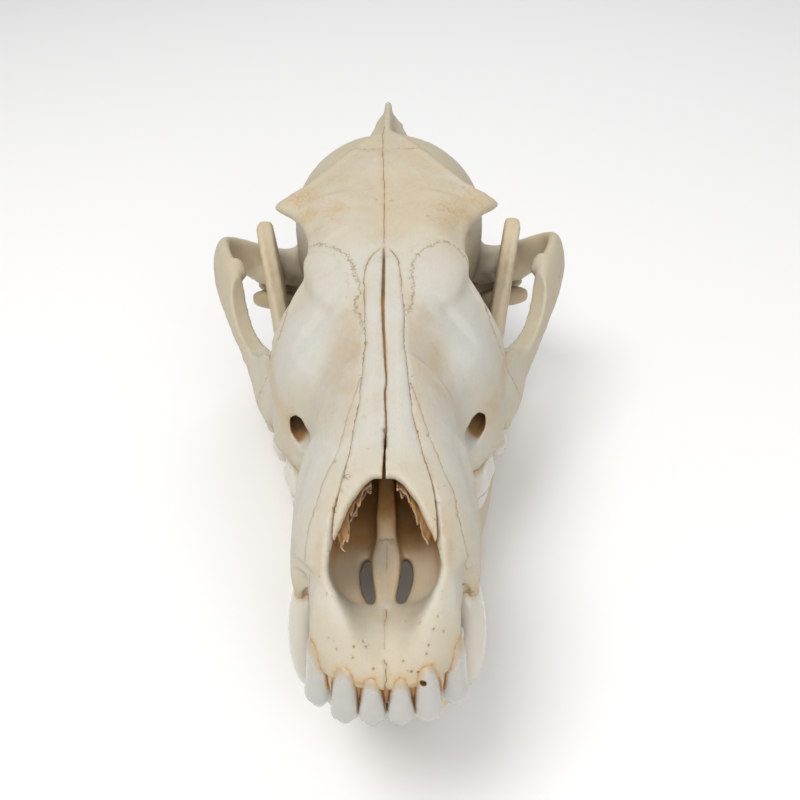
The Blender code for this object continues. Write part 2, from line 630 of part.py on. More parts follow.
def front_tooth(rows, side):
    return swept(rows, side, points=8, tall_toward=(0, 1, 0), steps=1)


def cheek_tooth(row, side, up, points=8):
    """A crown with cusps on a root. up is -1 for an upper tooth, whose crown points down."""
    x, y, rim, length, width, height, turn, flare, cusps = row
    direction = math.radians(turn)
    along = Vector((math.sin(direction), math.cos(direction), 0))
    across = Vector((math.cos(direction), -math.sin(direction), 0))

    def ring(share, level=None):
        out = []
        for a in turns(points):
            s, t = share * math.sin(a), share * math.cos(a)
            peak = max(tall - 0.85 * abs(s - back) - 0.45 * abs(t - outer) for back, outer, tall in cusps)
            rise = height * max(LEAST_CROWN, peak) if level is None else level
            place = Vector((x, y, rim)) + along * s * (1 + flare * t) * length / 2 + across * t * width / 2
            out.append((place.x * side, place.y, rim + up * rise))
        return out

    return skin([ring(0.5, -ROOT_DEPTH), ring(1.0, 0.12 * height), ring(0.72), ring(0.28)])


def tooth_row(jaw, word, front, cheek, up):
    """The teeth of one side of one jaw, by name."""
    side = 1 if word == "left" else -1
    bodies = {f"{jaw}_{word}_{name}": front_tooth(rows, side) for name, rows in front.items()}
    bodies.update({f"{jaw}_{word}_{name}": cheek_tooth(row, side, up) for name, row in cheek.items()})
    return bodies


def sockets(teeth):
    """The teeth with their skins moved out by the gap."""
    bodies = []
    for tooth in teeth.values():
        body = tooth.copy()
        body.normal_update()
        for vert in body.verts:
            vert.co += vert.normal * GAP * MM * min(vert.calc_shell_factor(), SHARPEST)
        bodies.append(body)
    return as_object("sockets", bodies)


def make_cranium(teeth):
    cranium = grown_bone("cranium", cranium_forms(), cranium_hollows(), CRANIUM_FACES, 3)
    for opening in cranium_openings():
        carved(cranium, as_object("opening", [opening]))
    return carved(cranium, sockets(teeth), crossing=True)


def make_jaw(word, teeth):
    side = 1 if word == "left" else -1
    jaw = grown_bone(f"{word}_jaw", jaw_forms(side), [egg(JAW_MUSCLE_BED, side)], JAW_FACES, 0)
    carved(jaw, as_object("other side", [block((-50 * side, CHIN_GAP / 2 * side), (-20, 60), (-60, 20))]))
    return carved(jaw, sockets(teeth), crossing=True)


def finish(thing, colour, roughness):
    """Smooth shading, sharp at true edges, and a material of the object's own."""
    made = bpy.data.materials.new(thing.name)
    made.use_nodes = True
    shader = made.node_tree.nodes["Principled BSDF"]
    shader.inputs["Base Color"].default_value = (*colour, 1)
    shader.inputs["Roughness"].default_value = roughness
    thing.data.materials.clear()
    thing.data.materials.append(made)
    thing.data.shade_smooth()
    thing.data.set_sharp_from_angle(angle=SHARP_FROM)


def stand(bones, teeth):
    """Turn the skull nose-up, wear flats where it rests and put it over the origin."""
    things = bones + teeth
    pitch = Matrix.Rotation(-STAND_PITCH, 4, "X")
    for thing in things:
        thing.data.transform(pitch)
    ground = min(vert.co.z for bone in bones for vert in bone.data.vertices) / MM + FOOT_FLAT
    for jaw in bones[1:]:
        carved(jaw, as_object("ground", [block((-80, 80), (-50, 250), (ground - 20, ground))]))
    spots = [vert.co for thing in things for vert in thing.data.vertices]
    x, y = ((min(spot[i] for spot in spots) + max(spot[i] for spot in spots)) / 2 for i in (0, 1))
    move = Matrix.Translation((-x, -y, -ground * MM))
    for thing in things:
        thing.data.transform(move)
        thing.data.update()
    return move @ pitch


def main():
    clear_scene()
    upper, lower = {}, {}
    for word in ("left", "right"):
        upper.update(tooth_row("upper", word, UPPER_FRONT_TEETH, UPPER_CHEEK_TEETH, -1))
        lower[word] = tooth_row("lower", word, LOWER_FRONT_TEETH, LOWER_CHEEK_TEETH, 1)
    bones = [make_cranium(upper), make_jaw("left", lower["left"]), make_jaw("right", lower["right"])]
    bodies = {**upper, **lower["left"], **lower["right"]}
    teeth = [as_object(name, [body]) for name, body in bodies.items()]
    standing = stand(bones, teeth)
    for bone, colour in zip(bones, (BONE, JAW_BONE, JAW_BONE)):
        finish(bone, colour, BONE_ROUGHNESS)
    for tooth in teeth:
        finish(tooth, ENAMEL, ENAMEL_ROUGHNESS)
    return standing


STAND_MATRIX = main()
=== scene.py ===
import math

import bpy
import numpy as np
from mathutils import Matrix, Vector, noise
from mathutils.bvhtree import BVHTree


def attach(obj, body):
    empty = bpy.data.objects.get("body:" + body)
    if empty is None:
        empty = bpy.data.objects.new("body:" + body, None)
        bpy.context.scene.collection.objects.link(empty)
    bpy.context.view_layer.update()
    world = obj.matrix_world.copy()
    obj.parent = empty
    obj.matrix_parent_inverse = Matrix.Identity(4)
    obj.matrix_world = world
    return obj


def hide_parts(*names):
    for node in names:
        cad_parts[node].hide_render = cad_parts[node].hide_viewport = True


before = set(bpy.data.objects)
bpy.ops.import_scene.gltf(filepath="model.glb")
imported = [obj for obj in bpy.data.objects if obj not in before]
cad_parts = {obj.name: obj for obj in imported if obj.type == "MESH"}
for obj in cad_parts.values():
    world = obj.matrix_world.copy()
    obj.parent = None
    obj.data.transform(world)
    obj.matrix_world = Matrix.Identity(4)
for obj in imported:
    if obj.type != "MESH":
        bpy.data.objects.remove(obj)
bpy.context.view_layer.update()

# The skull is laid out in skull millimetres: x to the animal's left, y back from the front of the upper
# jaw, z up from the rim of the upper tooth sockets. It is stood nose-up on its jaw when each piece is done.
stand = {"turn": math.radians(10.6), "move": (0.000025, -0.100357, 0.04553)}
placed = Matrix.Translation(stand["move"]) @ Matrix.Rotation(-stand["turn"], 4, "X")
standing = placed @ Matrix.Scale(0.001, 4)


# Making and finishing meshes


def smoothRows(rows, steps):
    # a smooth curve through the rows, with so many steps from each row to the next
    last, out = len(rows) - 1, []
    for i in range(last):
        before, start, end, after = (np.array(rows[min(max(i + k, 0), last)], float) for k in (-1, 0, 1, 2))
        second, third = 2 * before - 5 * start + 4 * end - after, 3 * start - before - 3 * end + after
        for s in range(steps):
            t = s / steps
            out.append(start + 0.5 * ((end - before) * t + (second * t**2 + third * t**3)))
    out.append(np.array(rows[last], float))
    return out


def squared(value, power):
    return math.copysign(abs(value) ** (2 / power), value)


def turns(points):
    return [2 * math.pi * k / points for k in range(points)]


def ease(values, low, high):
    t = np.clip((np.asarray(values, float) - low) / (high - low), 0, 1)
    return t * t * (3 - 2 * t)


def inRange(values, start, full, fading, end):
    # rises to 1 from start to full, and falls again from fading to end
    return ease(values, start, full) * (1 - ease(values, fading, end))


def select(*things):
    bpy.ops.object.select_all(action="DESELECT")
    for thing in things:
        thing.select_set(True)
    bpy.context.view_layer.objects.active = things[0]


def readOut(rows, name, width, kind=float):
    # what each point, edge, face or corner has under that name, as one row for each
    values = np.empty(len(rows) * width, kind)
    rows.foreach_get(name, values)
    return values.reshape(-1, width)


def getSpots(thing):
    return readOut(thing.data.vertices, "co", 3)


def getNormals(thing):
    return readOut(thing.data.vertices, "normal", 3)


def edgeEnds(thing):
    return readOut(thing.data.edges, "vertices", 2, int)


def setSpots(thing, spots):
    thing.data.vertices.foreach_set("co", np.asarray(spots, float).reshape(-1))
    thing.data.update()


def edited(thing, *steps):
    # runs each step in edit mode, with everything selected
    select(thing)
    bpy.ops.object.mode_set(mode="EDIT")
    for operator, settings in steps:
        bpy.ops.mesh.select_all(action="SELECT")
        operator(**settings)
    bpy.ops.object.mode_set(mode="OBJECT")
    return thing


def closeUp(thing):
    mesh = bpy.ops.mesh
    merge, fill = (mesh.remove_doubles, {"threshold": 0.0001}), (mesh.fill_holes, {"sides": 0})
    return edited(thing, merge, fill, (mesh.normals_make_consistent, {"inside": False}))


def added(operator, name, **settings):
    # a basic shape, under a name of its own
    bpy.ops.object.select_all(action="DESELECT")
    operator(**settings)
    thing = bpy.context.object
    thing.name = name
    return thing


def tube(name, rings):
    # a grid rolled up round the rings, with its seam merged and its ends filled
    around, ahead = len(rings[0]), len(rings) - 1
    thing = added(bpy.ops.mesh.primitive_grid_add, name, x_subdivisions=around, y_subdivisions=ahead, size=1)
    setSpots(thing, [[*ring, ring[0]] for ring in rings])
    return closeUp(thing)


def crossLoft(name, rows, side=1, points=40, lowPower=2.0, steps=6):
    rings = []
    for y, centre, wide, bottom, middle, top, highPower in smoothRows(rows, steps):
        ring = []
        for a in turns(points):
            high = math.sin(a) > 0
            power = highPower if high else lowPower
            reach = top - middle if high else middle - bottom
            across = centre * side + wide * squared(math.cos(a), power)
            ring.append((across, y, middle + reach * squared(math.sin(a), power)))
        rings.append(ring)
    return tube(name, rings)


def levelLoft(name, rows, points=40, power=2.4, steps=6):
    rings = []
    for z, wide, middle, deep, bend in smoothRows(rows, steps):
        across = [wide * squared(math.cos(a), power) for a in turns(points)]
        rings.append(
            [(x, middle + deep * math.sin(a) - bend * x * x, z) for x, a in zip(across, turns(points))]
        )
    return tube(name, rings)


def bar(name, rows, side=1, points=18, power=2.0, tallToward=(0, 0, 1), lean=0.0, steps=6):
    rows = smoothRows([(row[0] * side, *row[1:]) for row in rows], steps)
    rings = []
    for i, (x, y, z, thick, tall) in enumerate(rows):
        ahead = Vector(rows[min(i + 1, len(rows) - 1)][:3]) - Vector(rows[max(i - 1, 0)][:3])
        across = ahead.cross(Vector(tallToward)).normalized()
        up = across.cross(ahead).normalized()
        ring = []
        for a in turns(points):
            rise = tall * squared(math.sin(a), power)
            point = Vector((x, y, z)) + across * thick * squared(math.cos(a), power) + up * rise
            point.x -= lean * side * rise
            ring.append(tuple(point))
        rings.append(ring)
    return tube(name, rings)


def egg(name, shape, side=1):
    (x, y, z), radii, turn = shape
    thing = added(
        bpy.ops.mesh.primitive_ico_sphere_add, name, subdivisions=4, radius=1, location=(x * side, y, z),
        rotation=(0, 0, math.radians(turn * side)), scale=radii)
    bpy.ops.object.transform_apply(location=True, rotation=True, scale=True)
    return thing


def plate(name, rim, thickness):
    # a filled outline, extruded to its thickness
    mesh = bpy.ops.mesh
    thing = added(mesh.primitive_circle_add, name, vertices=len(rim), radius=1, fill_type="NGON")
    setSpots(thing, rim)
    extrude = (mesh.extrude_region_move, {"TRANSFORM_OT_translate": {"value": thickness}})
    outside = (mesh.normals_make_consistent, {"inside": False})
    return edited(thing, extrude, (mesh.quads_convert_to_tris, {}), outside)


def longPlate(name, outline, sides, side=1, lean=(0.0, 0.0)):
    rim = smoothRows([*outline, outline[0]], 4)[:-1]
    rim = [((sides[0] + lean[0] * y + lean[1] * z) * side, y, z) for y, z in rim]
    return plate(name, rim, ((sides[1] - sides[0]) * side, 0, 0))


def joined(name, things):
    select(*things)
    if len(things) > 1:
        bpy.ops.object.join()
    things[0].name = name
    return things[0]


def applied(thing, kind, **settings):
    made = thing.modifiers.new(kind, kind)
    for key, value in settings.items():
        setattr(made, key, value)
    select(thing)
    bpy.ops.object.modifier_apply(modifier=made.name)
    return thing


def grownTogether(thing, grain):
    return applied(thing, "REMESH", mode="VOXEL", voxel_size=grain)


def carved(thing, cutter):
    applied(thing, "BOOLEAN", operation="DIFFERENCE", object=cutter)
    bpy.data.objects.remove(cutter)
    return thing


def triangles(thing):
    return sum(len(face.vertices) - 2 for face in thing.data.polygons)


def thinned(thing, most):
    count = triangles(thing)
    if count > most:
        applied(thing, "DECIMATE", ratio=most / count)


def refined(thing, mask, cuts=1):
    # more points only where the mask asks for fine work
    faces = thing.data.polygons
    starts = readOut(faces, "loop_start", 1, int)[:, 0]
    corners = readOut(thing.data.loops, "vertex_index", 1, int)[:, 0]
    chosen = np.maximum.reduceat(mask[corners].astype(int), starts) > 0
    select(thing)
    bpy.ops.object.mode_set(mode="EDIT")
    bpy.ops.mesh.select_mode(type="FACE")
    bpy.ops.mesh.select_all(action="DESELECT")
    bpy.ops.object.mode_set(mode="OBJECT")
    faces.foreach_set("select", chosen)
    bpy.ops.object.mode_set(mode="EDIT")
    bpy.ops.mesh.subdivide(number_cuts=cuts)
    bpy.ops.mesh.select_mode(type="VERT")
    bpy.ops.object.mode_set(mode="OBJECT")


def surfaceTree(*things):
    spots, faces = [], []
    for thing in things:
        base = len(spots)
        spots += [vert.co.copy() for vert in thing.data.vertices]
        faces += [[base + i for i in face.vertices] for face in thing.data.polygons]
    return BVHTree.FromPolygons(spots, faces)


# Shaping by strokes laid on the surface


def along(path, gap=1.0):
    # the path as evenly spaced points on a smooth curve
    rows = np.array(smoothRows(path, 8))
    reach = np.concatenate([[0], np.cumsum(np.linalg.norm(np.diff(rows, axis=0), axis=1))])
    places = np.linspace(0, reach[-1], max(2, int(reach[-1] / gap) + 1))
    return np.stack([np.interp(places, reach, rows[:, i]) for i in range(3)], axis=1)


def onSurface(tree, points):
    return np.array([tree.find_nearest(Vector(point))[0][:] for point in points])


def outwards(tree, points):
    return np.array([tree.find_nearest(Vector(point))[1][:] for point in points])


def nearPath(spots, path, reach):
    # which spots are near the path, how far, on which point of it, and the way the path runs there
    low, high = path.min(0) - reach, path.max(0) + reach
    near = np.nonzero(np.all((spots > low) & (spots < high), axis=1))[0]
    best = np.full(len(near), 1e9)
    place, offset, way = np.zeros(len(near)), np.zeros((len(near), 3)), np.zeros((len(near), 3))
    total = max(len(path) - 1, 1)
    for i, (start, end) in enumerate(zip(path, path[1:])):
        run = end - start
        length = max(float(run @ run), 1e-9)
        t = np.clip((spots[near] - start) @ run / length, 0, 1)
        apart = spots[near] - start - t[:, None] * run
        gap = np.einsum("ij,ij->i", apart, apart)
        closer = gap < best
        best[closer] = gap[closer]
        place[closer] = (i + t[closer]) / total
        offset[closer] = apart[closer]
        way[closer] = run / math.sqrt(length)
    gap = np.sqrt(best)
    keep = gap < reach
    return near[keep], gap[keep], place[keep], offset[keep], way[keep]


def mirrored(path, side):
    return [(point[0] * side, *point[1:]) for point in path]


def roughness(spots, size, seed=0.0):
    return np.array([noise.noise(Vector(spot) / size + Vector((seed, seed, seed))) for spot in spots])


def stroked(thing, strokes, tree, sides=(1, -1)):
    # each stroke raises or sinks the surface along its path, and fades at both ends of it
    spots, normals = getSpots(thing), getNormals(thing)
    move = np.zeros(len(spots))
    for width, height, points, *more in strokes.values():
        more = more[0] if more else {}
        for side in more.get("sides", sides):
            path = onSurface(tree, along(mirrored(points, side)))
            near, gap, place, _, _ = nearPath(spots, path, width)
            out = outwards(tree, path)[np.rint(place * (len(path) - 1)).astype(int)]
            shape = (1 - (gap / width) ** 2) ** 2
            # the far side of a thin wall stays
            shape *= ease(np.einsum("ij,ij->i", normals[near], out), -0.1, 0.5)
            fade = more.get("fade", 0.12)
            shape *= ease(place, -0.02, fade) * ease(1 - place, -0.02, fade) if fade else 1
            if "rough" in more:
                shape *= 1 + more["rough"] * roughness(spots[near], more.get("grain", 2.0))
            move[near] += shape * height
    setSpots(thing, spots + normals * move[:, None])


def pitted(thing, pits, tree, sides=(1, -1)):
    # small holes for nerves and blood vessels: where, how wide and how deep
    spots, normals = getSpots(thing), getNormals(thing)
    for (x, y, z), wide, deep in pits:
        for side in sides:
            centre, out, _, _ = tree.find_nearest(Vector((x * side, y, z)))
            centre, out = np.array(centre), np.array(out)
            near = np.nonzero(np.all(np.abs(spots - centre) < wide * 1.5, axis=1))[0]
            reach = np.linalg.norm(spots[near] - centre, axis=1)
            shape = (1 - ease(reach / wide, 0.35, 1.25)) * (normals[near] @ out > 0.1)
            spots[near] -= shape[:, None] * deep * out
    setSpots(thing, spots)


def neighbourSum(ends, first, second, count):
    # for each point, the sum of what its edges give to their first and to their second end
    return np.bincount(ends[:, 0], first, count) + np.bincount(ends[:, 1], second, count)


def melted(thing, strength, passes):
    # softens the shape where strength is over 0
    spots, ends = getSpots(thing), edgeEnds(thing)
    ends = ends[(strength[ends] > 0).any(axis=1)]
    used, ends = np.unique(ends, return_inverse=True)
    ends = ends.reshape(-1, 2)
    soft, pull = spots[used], strength[used][:, None]
    count = np.bincount(ends.reshape(-1))[:, None]
    for _ in range(passes):
        total = [neighbourSum(ends, soft[ends[:, 1], i], soft[ends[:, 0], i], len(used)) for i in range(3)]
        soft = soft + 0.5 * (np.stack(total, axis=1) / count - soft) * pull
    spots[used] = soft
    setSpots(thing, spots)


def nearSpots(thing, places, reach):
    spots = getSpots(thing)
    return np.any([np.all(np.abs(spots - place) < reach, axis=1) for place in places], axis=0)


def nearPaths(thing, paths, reach):
    spots = getSpots(thing)
    mask = np.zeros(len(spots), bool)
    for path in paths:
        mask[nearPath(spots, path, reach)[0]] = True
    return mask


# What each point stores for the materials


def storeValue(thing, name, values):
    layer = thing.data.attributes.get(name) or thing.data.attributes.new(name, "FLOAT", "POINT")
    layer.data.foreach_set("value", np.asarray(values, np.float32))


def blurred(thing, values, passes):
    ends = edgeEnds(thing)
    count = np.bincount(ends.reshape(-1), minlength=len(values)).clip(1)
    for _ in range(passes):
        total = neighbourSum(ends, values[ends[:, 1]], values[ends[:, 0]], len(values))
        values = 0.5 * values + 0.5 * total / count
    return values


def bulge(thing, passes=2):
    # over 0 on ridges, under 0 in grooves
    spots, normals, ends = getSpots(thing), getNormals(thing), edgeEnds(thing)
    run = spots[ends[:, 1]] - spots[ends[:, 0]]
    length = np.linalg.norm(run, axis=1).clip(1e-6)
    near = -np.einsum("ij,ij->i", run, normals[ends[:, 0]]) / length
    far = np.einsum("ij,ij->i", run, normals[ends[:, 1]]) / length
    count = np.bincount(ends.reshape(-1), minlength=len(spots)).clip(1)
    return blurred(thing, neighbourSum(ends, near, far, len(spots)) / count, passes)


def skyDirections(count):
    # spread evenly over a half sphere, more of them straight up
    out = []
    for k in range(count):
        rise = math.sqrt(1 - (k + 0.5) / count)
        turn = k * 2.39996
        flat = math.sqrt(1 - rise * rise)
        out.append((flat * math.cos(turn), flat * math.sin(turn), rise))
    return out


def sheltered(thing, tree, rays=16, reach=22.0):
    # how much of what each point faces is hidden by bone near it
    ways = [Vector(way) for way in skyDirections(rays)]
    out = np.zeros(len(thing.data.vertices))
    up = Vector((0, 0, 1))
    for i, vert in enumerate(thing.data.vertices):
        turn = up.rotation_difference(vert.normal)
        start = vert.co + vert.normal * 0.12
        hits = 0.0
        for way in ways:
            gap = tree.ray_cast(start, turn @ way, reach)[3]
            if gap is not None:
                hits += 1 - gap / reach
        out[i] = hits / rays
    return out


def thickness(thing, tree, most=6.0):
    out = np.full(len(thing.data.vertices), most)
    for i, vert in enumerate(thing.data.vertices):
        gap = tree.ray_cast(vert.co - vert.normal * 0.05, -vert.normal, most)[3]
        if gap is not None:
            out[i] = gap
    return out


def closeness(thing, tree, near, far):
    # 1 within near of the other surface, 0 beyond far
    found = [tree.find_nearest(Vector(spot), far)[3] for spot in getSpots(thing)]
    return 1 - ease(np.array([far if gap is None else gap for gap in found]), near, far)


def storeSeams(bone, lines=(), pores=(), most=2.5):
    # how far each point is from the nearest seam, on which side, how dark that seam is and how far it wanders
    spots = getSpots(bone)
    best, signed = np.full(len(spots), most), np.full(len(spots), most)
    dark, zigzag = np.zeros(len(spots)), np.zeros(len(spots))
    for line, ups, darkest, wander in lines:
        near, gap, place, offset, way = nearPath(spots, line, most)
        up = ups[np.rint(place * (len(line) - 1)).astype(int)]
        side = np.sign(np.einsum("ij,ij->i", np.cross(way, up), offset))
        side[side == 0] = 1
        closer = gap < best[near]
        at = near[closer]
        best[at] = gap[closer]
        signed[at] = gap[closer] * side[closer]
        reach = 1.0 + 1.5 * wander  # it fades before the next seam's own side begins
        fade = ease(place, 0, 0.03) * ease(1 - place, 0, 0.03) * (1 - ease(gap, 0.7 * reach, reach))
        dark[at] = darkest * fade[closer]
        zigzag[at] = wander
    for pore in pores:
        near = np.nonzero(np.all(np.abs(spots - pore) < 0.7, axis=1))[0]
        gap = np.linalg.norm(spots[near] - pore, axis=1)
        near, gap = near[gap < best[near]], gap[gap < best[near]]
        best[near], signed[near], zigzag[near] = gap, gap, 0
        dark[near] = 0.75 * (1 - ease(gap, 0.45, 0.7))
    for name, values in (("seam", signed), ("seamDark", dark), ("seamZigzag", zigzag)):
        storeValue(bone, name, values)


def stoodUp(thing, name):
    thing.name = name
    thing.data.name = name
    thing.data.transform(standing)
    spots = getSpots(thing)
    spots[:, 2] = spots[:, 2].clip(0)  # worn flat where it rests on the ground
    setSpots(thing, spots)


# The cranium

# Sections across the skull: y, centre x, half width, bottom, widest height, top, how square the top is.
# The occiput in level sections: z, half width, middle y, half depth, bend. Bars along a path: x, y, z, half
# thickness, half height. Eggs: centre, radii, turn in degrees. Plates: y, z round the rim, and two sides.
craniumForms = {
    "muzzle": [
        (-2, 0, 4.5, -2.2, -0.5, 2.5, 2.4), (-0.3, 0, 8.8, -2.4, 0.5, 7.2, 2.4),
        (3.5, 0, 12.6, -2.4, 2.6, 12.2, 2.4), (8, 0, 13.6, -2.2, 4.6, 17.2, 2.4),
        (12, 0, 14.9, -2.2, 7, 23.4, 2.4), (17, 0, 16.8, -2.2, 8, 26.6, 2.3),
        (24, 0, 16.6, -2, 9, 28.9, 2.3), (34, 0, 16.2, -1.8, 9, 31.4, 2.3), (46, 0, 16, -1.6, 8, 34.3, 2.2),
        (55, 0, 16.9, -1.6, 7.5, 36.7, 2.2), (60, 0, 19.4, -1.6, 7, 38.2, 2.1),
        (65, 0, 23.6, -1.6, 7, 39.6, 2.1), (70, 0, 26, -1.5, 7.5, 41, 2.05),
        (76, 0, 27.5, -1.2, 9, 43, 2.05), (83, 0, 28.6, -1, 11, 45.3, 2.05), (89, 0, 26.5, -0.5, 11, 47, 2),
        (95, 0, 21.5, 0, 8, 40, 2), (101, 0, 17, 2, 6, 12, 2),
    ],
    "forehead": [
        (68, 0, 12, 32, 36.5, 40.3, 2), (78, 0, 17, 31, 38, 43.5, 2), (87, 0, 18.8, 32, 40, 46.5, 2),
        (96, 0, 18.7, 33, 42.3, 49.6, 2), (102, 0, 20.2, 36, 44.6, 51.6, 2),
        (106, 0, 23, 39, 46.8, 52.8, 2), (109, 0, 26.8, 41, 48.2, 53.6, 2),
        (110.8, 0, 28.4, 42, 48.4, 54.1, 2), (112.4, 0, 26.4, 42, 49, 54.5, 2),
        (115.5, 0, 22.4, 42, 50.8, 55.4, 2), (120, 0, 19.4, 42, 52.6, 56.6, 2),
        (126, 0, 16.6, 42, 54.2, 57.9, 2), (132, 0, 13, 42, 56, 59, 2), (138, 0, 8.8, 42, 57.8, 60, 2),
        (144, 0, 4.6, 44, 59.4, 60.8, 2), (149, 0, 1.6, 48, 60.2, 61.1, 2),
    ],
    "orbitWall": [
        (78, 0, 14, 5, 24, 40, 2), (90, 0, 13.2, 6, 26, 43, 2), (102, 0, 12.4, 6, 28, 46, 2),
        (113, 0, 13, 6, 30, 49, 2), (124, 0, 16, 5, 30, 51, 2),
    ],
    "braincase": [
        (111, 0, 12, 12, 33, 50, 2), (120, 0, 16.6, 8, 32, 54.2, 2), (130, 0, 22, 5, 32, 57.6, 2),
        (141, 0, 26.2, 4, 33, 60, 2), (152, 0, 27.6, 4, 33, 59, 2), (162, 0, 27.2, 4, 32, 56.2, 2),
        (172, 0, 24.6, 4, 30, 51.6, 2), (181, 0, 18.6, 5, 27, 45, 2), (186, 0, 12, 9, 25, 39, 2),
    ],
    "skullBase": [
        (108, 0, 6, 4, 7, 12, 2), (130, 0, 7, 3, 6, 12, 2), (160, 0, 8.5, 1.5, 5, 12, 2),
        (184, 0, 6.5, 2, 5, 9, 2),
    ],
    "occiput": [
        (4, 21, 175, 4, 0.012), (12, 27.4, 177, 4.5, 0.0125), (22, 26.2, 180.5, 4.5, 0.0125),
        (32, 22, 184, 4.2, 0.0125), (41, 14.6, 188, 3.8, 0.0125), (48, 7.6, 191.2, 3, 0.0125),
        (54, 2.8, 193.6, 2.2, 0.01), (59.5, 1.1, 195.6, 1.2, 0),
    ],
    "arch": [
        (23, 80, 12, 6, 10.5), (27.6, 87, 13, 4.4, 9.2), (31.4, 95, 14.8, 3.1, 6.8),
        (36, 105, 17.8, 2.7, 5.6), (40.6, 115, 21.8, 2.5, 5.8), (44, 124, 25.2, 2.4, 6.4),
        (46.6, 132, 27.8, 2.2, 5.8), (47.6, 139.5, 28.4, 2.2, 5), (45, 146.2, 26, 2.6, 4.8),
        (39, 150.4, 22.4, 3.2, 5), (32, 151.8, 20.4, 4.2, 5.4), (25, 152.5, 20.5, 5.5, 7),
    ],
    "orbitSpur": [(40.5, 121, 27, 2.6, 2.5), (41.2, 123, 30, 2.6, 1.6), (41.6, 124, 32, 1.6, 1)],
    "nuchalCrest": [
        (0, 195, 59, 1, 1.8), (3, 193.6, 53.4, 1.1, 2.2), (8, 190.8, 46.8, 1.2, 2.4),
        (15.5, 185.4, 39, 1.3, 2.6), (22.4, 178.8, 29.6, 1.4, 2.8), (26.8, 173, 20, 1.7, 3),
        (28.6, 169, 11.5, 2.4, 3), (27.3, 168, 5.5, 2.6, 2.6),
    ],
    "jawStop": [(26, 157.4, 13.5, 2, 4), (33, 157, 11.8, 1.9, 4.8), (40, 155.5, 15.5, 1.5, 3)],
    "neckSpur": [(20, 173, 9, 4.5, 3), (20.5, 176, 0, 3.2, 2.2), (20, 177.5, -6.5, 1.6, 1.3)],
    "neckJoint": ((9.8, 184, 8.5), (5.4, 6, 7.5), -22),
    "earCapsule": ((15.5, 159.5, 0.8), (8, 12.5, 8.8), -12),
    "jawSocket": ((34, 151.5, 19.5), (10, 6, 4.4), 0),
    "mastoid": ((26.5, 168.5, 9), (4.5, 5.5, 7), 0),
    "sagittalCrest": [
        (134, 55), (142, 59.6), (152, 61.6), (170, 61.9), (188, 61.6), (196.4, 61.2), (196.8, 57),
        (191, 47), (176, 42), (150, 50),
    ],
    "sagittalSides": (-1.1, 1.1),
    "pterygoid": [(94, 2), (104, 0.5), (118, 0.6), (129, -0.6), (132, 0.8), (129, 8), (127, 15), (94, 17)],
    "pterygoidSides": (7.6, 9.8),
    "betweenTeeth": [
        [(0, 0.4, 1, 1.2, 2.1), (0, 0.3, -1.4, 1.1, 2), (0, 0.2, -3.6, 0.85, 1.6), (0, 0.1, -5.6, 0.35, 1)],
        [
            (4.3, 0.6, 1.2, 1.2, 2.1), (4.35, 0.5, -1, 1.15, 2), (4.45, 0.5, -3.4, 0.85, 1.6),
            (4.6, 0.5, -5.4, 0.35, 1),
        ],
        [
            (8.5, 2.4, 2.4, 1.2, 2.1), (8.6, 2.1, 0.4, 1.15, 2), (8.9, 2, -2.4, 0.85, 1.6),
            (9.1, 2, -4.8, 0.35, 1),
        ],
    ],
}

